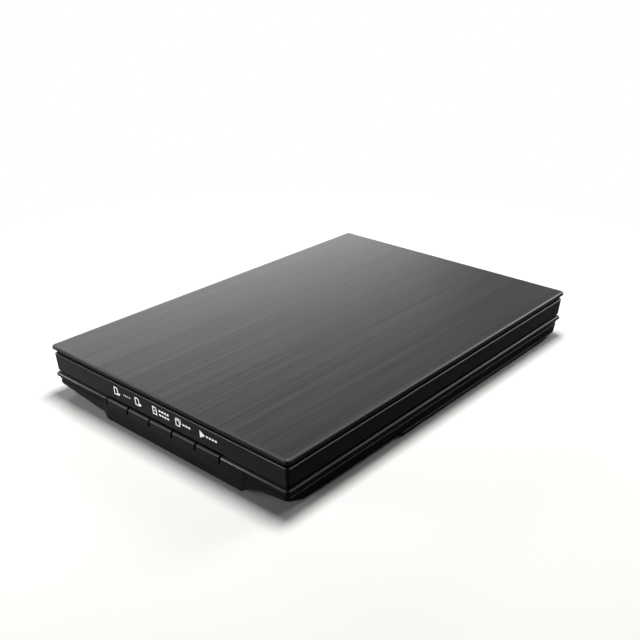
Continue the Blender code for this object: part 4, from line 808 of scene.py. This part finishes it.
class SCANNER_OT_carriage(PieceOperator, bpy.types.Operator):
    """Dress the scan carriage, its drive and its springs"""

    bl_idname = "scanner.carriage"
    bl_label = "Carriage"

    def coil(self, node):
        """A spring of round wire, as wide and tall as its solid."""
        low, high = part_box(node)
        middle = (low + high) / 2
        wire, sides = 0.3 * MM, 8
        turns, steps = 4, 96
        reach = (high.x - low.x) / 2 - wire
        rise = (high.z - low.z - 2 * wire) / steps
        bm = bmesh.new()
        ring = bmesh.ops.create_circle(bm, cap_ends=False, segments=sides, radius=wire)["verts"]
        bmesh.ops.rotate(bm, matrix=Matrix.Rotation(math.pi / 2, 3, "X"), verts=ring)
        start = Vector((middle.x + reach, middle.y, low.z + wire))
        bmesh.ops.translate(bm, vec=start, verts=ring)
        bmesh.ops.spin(
            bm, geom=bm.edges[:], cent=(middle.x, middle.y, 0), axis=(0, 0, 1), dvec=(0, 0, rise),
            angle=turns * 2 * math.pi, steps=steps,
        )
        bmesh.ops.holes_fill(bm, edges=[e for e in bm.edges if e.is_boundary])
        bmesh.ops.recalc_face_normals(bm, faces=bm.faces)
        return bm

    def execute(self, context):
        plastic = self.inner_plastic("Carriage ABS", roughness=0.5)
        bronze = speckled(
            "Sintered bronze", self.colours.bronze,
            roughness=0.42, speck=0.3 * MM, contrast=0.2, depth=ROUGH, metallic=1.0,
        )
        acetal = self.acetal("Moulded acetal", roughness=0.42, speck=3 * MM, contrast=0.04)
        ground = ground_steel("Ground steel", line=0.3 * MM, across="Y")
        drawn = ground_steel("Drawn steel can", line=0.4 * MM, across="Z")
        wire = ground_steel("Spring wire", line=0.3 * MM, across="Z")
        dress_copy("carriage_frame", plastic)
        for node in ("shaft_bush_front", "shaft_bush_rear"):
            dress_copy(node, bronze)
        dress_copy("motor", drawn)
        for node in ("gear_axle", "motor_shaft"):
            dress_copy(node, ground)
        dress_copy("motor_pinion", bronze)
        dress_copy("reduction_gear", acetal)
        dress_copy("drive_rack", acetal)
        dress_copy("guide_shaft", ground)
        for node in ("shaft_clip_front", "shaft_clip_rear"):
            dress_copy(node, drawn)
        finish_node("carriage_socket", acetal)
        for side in ("left", "right"):
            node = f"sensor_spring_{side}"
            spring = add_piece(f"coil_spring_{side}", self.coil(node), [wire], "carriage", [node])
            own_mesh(spring)
        return {"FINISHED"}


class SCANNER_OT_sensor(PieceOperator, bpy.types.Operator):
    """Dress the sensor bar that floats on the carriage"""

    bl_idname = "scanner.sensor"
    bl_label = "Sensor bar"

    def execute(self, context):
        plastic = self.inner_plastic("Sensor housing", roughness=0.45)
        acetal = self.acetal("Slippery acetal", roughness=0.36, speck=2 * MM, contrast=0.04)
        dress_copy("sensor_housing", plastic)
        finish_node("sensor_window", float_glass())
        finish_node("lens_array", lens_rods())
        dress_copy("light_guide", clear_acrylic())
        finish_node("sensor_board", circuit_board())
        for node in ("glide_shoe_left", "glide_shoe_right"):
            dress_copy(node, acetal)
        return {"FINISHED"}


class SCANNER_OT_boards(PieceOperator, bpy.types.Operator):
    """Dress the circuit boards, their chip and sockets and the key mat"""

    bl_idname = "scanner.boards"
    bl_label = "Boards"

    def execute(self, context):
        board = circuit_board()
        acetal = self.acetal("Socket resin", roughness=0.5, speck=2 * MM, contrast=0.05)
        finish_node("main_board", board)
        finish_node("button_board", board)
        resin = speckled(
            "Moulded epoxy resin", self.colours.resin,
            roughness=0.55, speck=0.4 * MM, contrast=0.15, depth=ROUGH,
        )
        finish_node("processor_chip", resin)
        finish_node("cable_socket", acetal)
        finish_node("usb_socket", ground_steel("Tinned steel shell", line=0.5 * MM, across="X"))
        rubber = speckled(
            "Silicone key mat", self.colours.rubber,
            roughness=0.75, speck=0.6 * MM, contrast=0.15, depth=ROUGH, specular=0.2,
        )
        dress_copy("key_mat", rubber)
        return {"FINISHED"}


class SCANNER_OT_cables(PieceOperator, bpy.types.Operator):
    """Make the flat cable that follows the carriage, and dress the others"""

    bl_idname = "scanner.cables"
    bl_label = "Cables"

    def execute(self, context):
        film = striped_cable("Polyester flat cable", "X")
        finish_node("flat_cable_fixed", film)
        finish_node("button_cable", striped_cable("Upright flat cable", "Z"))
        plastic = self.inner_plastic("Cable clamp", roughness=0.5)
        dress_copy("cable_clamp", plastic)
        low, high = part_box("flat_cable_moving")
        thick, rise, steps = 0.3 * MM, 30 * MM, 60
        rise_start = high.y - rise
        bm = bmesh.new()
        ends = [bm.verts.new((x, low.y, low.z)) for x in (low.x, high.x)]
        edge = bm.edges.new(ends)
        for step in range(1, steps + 1):
            y = low.y + (high.y - low.y) * step / steps
            share = min(1.0, max(0.0, (y - rise_start) / (high.y - rise_start)))
            z = low.z + (high.z - thick - low.z) * share * share * (3 - 2 * share)
            grown = bmesh.ops.extrude_edge_only(bm, edges=[edge])["geom"]
            for vert in [g for g in grown if isinstance(g, bmesh.types.BMVert)]:
                vert.co.y = y
                vert.co.z = z
            edge = next(g for g in grown if isinstance(g, bmesh.types.BMEdge))
        bmesh.ops.recalc_face_normals(bm, faces=bm.faces)
        turn = -1 if bm.faces[:][0].normal.z > 0 else 1
        bmesh.ops.solidify(bm, geom=bm.faces[:], thickness=turn * thick)
        bmesh.ops.recalc_face_normals(bm, faces=bm.faces)
        strip = add_piece("carriage_cable", bm, [film], None, ["flat_cable_moving"])
        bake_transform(strip)
        return {"FINISHED"}


class SCANNER_OT_fasteners(PieceOperator, bpy.types.Operator):
    """Dress the screws and make the rubber feet"""

    bl_idname = "scanner.fasteners"
    bl_label = "Fasteners and feet"

    def execute(self, context):
        plated = speckled(
            "Zinc-plated steel", self.colours.steel,
            roughness=0.32, speck=0.6 * MM, contrast=0.08, depth=FILM, metallic=1.0,
        )
        for number in range(1, 5):
            dress_copy(f"case_screw_{number}", plated)
        for number in (1, 2):
            dress_copy(f"board_screw_{number}", plated)
        rubber = speckled(
            "Moulded rubber", self.colours.rubber,
            roughness=0.8, speck=0.5 * MM, contrast=0.2, depth=2 * ROUGH, specular=0.2,
        )
        for number in range(1, 5):
            low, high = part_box(f"rubber_foot_{number}")
            bm = rounded_block(low, high, self.sizes.foot_edge, steps=4)
            add_piece(f"foot_pad_{number}", bm, [rubber], "base", [f"rubber_foot_{number}"])
        return {"FINISHED"}


class SCANNER_OT_hinges(PieceOperator, bpy.types.Operator):
    """Dress the hinge posts and their pins"""

    bl_idname = "scanner.hinges"
    bl_label = "Hinges"

    def execute(self, context):
        matt = self.plastic("Hinge posts", self.colours.lid_frame, roughness=0.5, specular=0.3)
        pin = ground_steel("Hinge pins", line=0.3 * MM, across="X")
        for side in ("left", "right"):
            dress_copy(f"hinge_post_{side}", matt)
            dress_copy(f"hinge_pin_{side}", pin)
        return {"FINISHED"}


class SCANNER_OT_stage(PieceOperator, bpy.types.Operator):
    """Set the floor, the light and the camera"""

    bl_idname = "scanner.stage"
    bl_label = "Stage"

    def lamp(self, name, place, aim, size, power, tilt=0.0):
        """A softbox that faces a point, with its long side tilted from level."""
        light = bpy.data.lights.new(name, "AREA")
        light.shape = "RECTANGLE"
        light.size, light.size_y = size
        light.energy = power
        lamp = bpy.data.objects.new(name, light)
        bpy.context.scene.collection.objects.link(lamp)
        lamp.location = place
        faced = (Vector(aim) - Vector(place)).to_track_quat("-Z", "Y")
        lamp.rotation_euler = (faced @ Quaternion((0, 0, 1), tilt)).to_euler()

    def white_share(self, tree):
        """One for the rays that show the background: from the camera, from gloss and through glass."""
        light_path = add_node(tree, "ShaderNodeLightPath")
        direct = add_node(
            tree, "ShaderNodeMath",
            {0: light_path.outputs["Is Camera Ray"], 1: light_path.outputs["Is Glossy Ray"]},
            operation="MAXIMUM",
        )
        return add_node(
            tree, "ShaderNodeMath",
            {0: direct.outputs[0], 1: light_path.outputs["Is Transmission Ray"]},
            operation="MAXIMUM",
        ).outputs[0]

    def world(self):
        world = bpy.data.worlds.new("Studio")
        bpy.context.scene.world = world
        world.use_nodes = True
        tree = world.node_tree
        out = tree.nodes["World Output"]
        warm = opaque(linear("#fff3e6"))
        fill = add_node(tree, "ShaderNodeBackground", {"Color": warm, "Strength": 0.02})
        white = add_node(tree, "ShaderNodeBackground", {"Color": WHITE, "Strength": 1.0})
        mixed = add_node(
            tree, "ShaderNodeMixShader", {0: self.white_share(tree), 1: fill.outputs[0], 2: white.outputs[0]}
        )
        tree.links.new(mixed.outputs[0], out.inputs["Surface"])

    def floor(self, studio):
        bm = bmesh.new()
        bmesh.ops.create_grid(bm, x_segments=1, y_segments=1, size=studio.floor_radius)
        bmesh.ops.translate(bm, vec=(0, 0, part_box("rubber_foot_1")[0].z), verts=bm.verts)
        mesh = bpy.data.meshes.new("studio_floor")
        bm.to_mesh(mesh)
        bm.free()
        floor = bpy.data.objects.new("studio_floor", mesh)
        bpy.context.scene.collection.objects.link(floor)
        # Matt white paint near the scanner, which takes its shade, and plain white further out
        material, tree, shader, place = new_material(
            "Matt white floor", Roughness=0.9, Specular_IOR_Level=0.0, Base_Color=opaque(self.colours.floor)
        )
        away = add_node(tree, "ShaderNodeVectorMath", {0: place}, operation="LENGTH")
        shade_start, shade_end = 0.6 * studio.shade_radius, studio.shade_radius
        far = add_node(
            tree, "ShaderNodeMapRange",
            {"Value": away.outputs["Value"], "From Min": shade_start, "From Max": shade_end},
            interpolation_type="SMOOTHSTEP",
        )
        share = add_node(
            tree, "ShaderNodeMath", {0: far.outputs[0], 1: self.white_share(tree)}, operation="MULTIPLY"
        )
        plain = add_node(tree, "ShaderNodeEmission", {"Color": WHITE, "Strength": 1.0})
        # Other rays find a dim floor, which throws little light back on the scanner
        dim = add_node(tree, "ShaderNodeBsdfDiffuse", {"Color": opaque(linear("#5a5754"))})
        shown = add_node(
            tree, "ShaderNodeMixShader", {0: share.outputs[0], 1: shader.outputs[0], 2: plain.outputs[0]}
        )
        mixed = add_node(
            tree, "ShaderNodeMixShader", {0: self.white_share(tree), 1: dim.outputs[0], 2: shown.outputs[0]}
        )
        tree.links.new(mixed.outputs[0], tree.nodes["Material Output"].inputs["Surface"])
        mesh.materials.append(material)

    def camera(self, studio):
        """The photograph's view: about the scanner's middle, then shifted and rolled in the picture."""
        low, high = CAD_BOX
        rise, turn = studio.elevation, studio.azimuth
        back = Vector(
            (math.sin(turn) * math.cos(rise), -math.cos(turn) * math.cos(rise), math.sin(rise))
        )
        level = Vector((0, 0, 1)).cross(back).normalized()
        upward = back.cross(level)
        right = math.cos(studio.roll) * level + math.sin(studio.roll) * upward
        up = math.cos(studio.roll) * upward - math.sin(studio.roll) * level
        middle = Vector((0, 0, (low.z + high.z) / 2))
        place = middle + back * studio.distance + right * studio.sideways + up * studio.upwards
        data = bpy.data.cameras.new("photograph")
        data.lens = studio.lens
        data.sensor_width = 36.0
        data.clip_start, data.clip_end = 0.01, 50.0
        camera = bpy.data.objects.new("photograph", data)
        bpy.context.scene.collection.objects.link(camera)
        camera.matrix_world = Matrix.Translation(place) @ Matrix((right, up, back)).transposed().to_4x4()
        bpy.context.scene.camera = camera

    def execute(self, context):
        studio = context.scene.scanner_studio
        context.scene.view_settings.view_transform = "Standard"
        self.world()
        self.floor(studio)
        self.lamp(
            "left_softbox", place=(-0.858, 0.642, 0.299), aim=(0, 0.05, 0.05),
            size=(1.18, 0.15), power=5.0, tilt=math.radians(20),
        )
        self.lamp(
            "right_softbox", place=(0.38, 1.31, 0.75), aim=(0, 0.1, 0.03), size=(0.6, 0.6), power=6.5
        )
        self.lamp(
            "overhead_softbox", place=(-0.04, 0.14, 1.30), aim=(-0.04, 0, 0), size=(0.36, 0.55), power=18.0
        )
        self.lamp(
            "front_fill", place=(-0.50, -0.60, 0.05), aim=(0, 0, 0.03), size=(0.5, 0.08), power=6.6
        )
        self.camera(studio)
        return {"FINISHED"}


class SCANNER_PT_panel(bpy.types.Panel):
    """Lists the scanner's operators, sizes and colours"""

    bl_idname = "SCANNER_PT_panel"
    bl_label = "Flatbed scanner"
    bl_space_type = "VIEW_3D"
    bl_region_type = "UI"
    bl_category = "Scanner"

    def draw(self, context):
        column = self.layout.column()
        for operator in OPERATORS:
            column.operator(operator.bl_idname)
        scene = context.scene
        for group in (scene.scanner_sizes, scene.scanner_colours, scene.scanner_studio):
            box = self.layout.box()
            for name in group.__annotations__:
                box.prop(group, name)


OPERATORS = (
    SCANNER_OT_lid,
    SCANNER_OT_casing,
    SCANNER_OT_buttons,
    SCANNER_OT_front_marks,
    SCANNER_OT_platen,
    SCANNER_OT_lid_pad,
    SCANNER_OT_carriage,
    SCANNER_OT_sensor,
    SCANNER_OT_boards,
    SCANNER_OT_cables,
    SCANNER_OT_fasteners,
    SCANNER_OT_hinges,
    SCANNER_OT_stage,
)
CLASSES = (ScannerSizes, ScannerColours, ScannerStudio, *OPERATORS, SCANNER_PT_panel)


def register():
    for item in CLASSES:
        bpy.utils.register_class(item)
    bpy.types.Scene.scanner_sizes = bpy.props.PointerProperty(type=ScannerSizes)
    bpy.types.Scene.scanner_colours = bpy.props.PointerProperty(type=ScannerColours)
    bpy.types.Scene.scanner_studio = bpy.props.PointerProperty(type=ScannerStudio)


def unregister():
    del bpy.types.Scene.scanner_studio
    del bpy.types.Scene.scanner_colours
    del bpy.types.Scene.scanner_sizes
    for item in reversed(CLASSES):
        bpy.utils.unregister_class(item)


def main():
    register()
    bpy.ops.scanner.lid()
    bpy.ops.scanner.casing()
    bpy.ops.scanner.buttons()
    bpy.ops.scanner.front_marks()
    bpy.ops.scanner.platen()
    bpy.ops.scanner.lid_pad()
    bpy.ops.scanner.carriage()
    bpy.ops.scanner.sensor()
    bpy.ops.scanner.boards()
    bpy.ops.scanner.cables()
    bpy.ops.scanner.fasteners()
    bpy.ops.scanner.hinges()
    bpy.ops.scanner.stage()


if __name__ == "__main__":
    main()
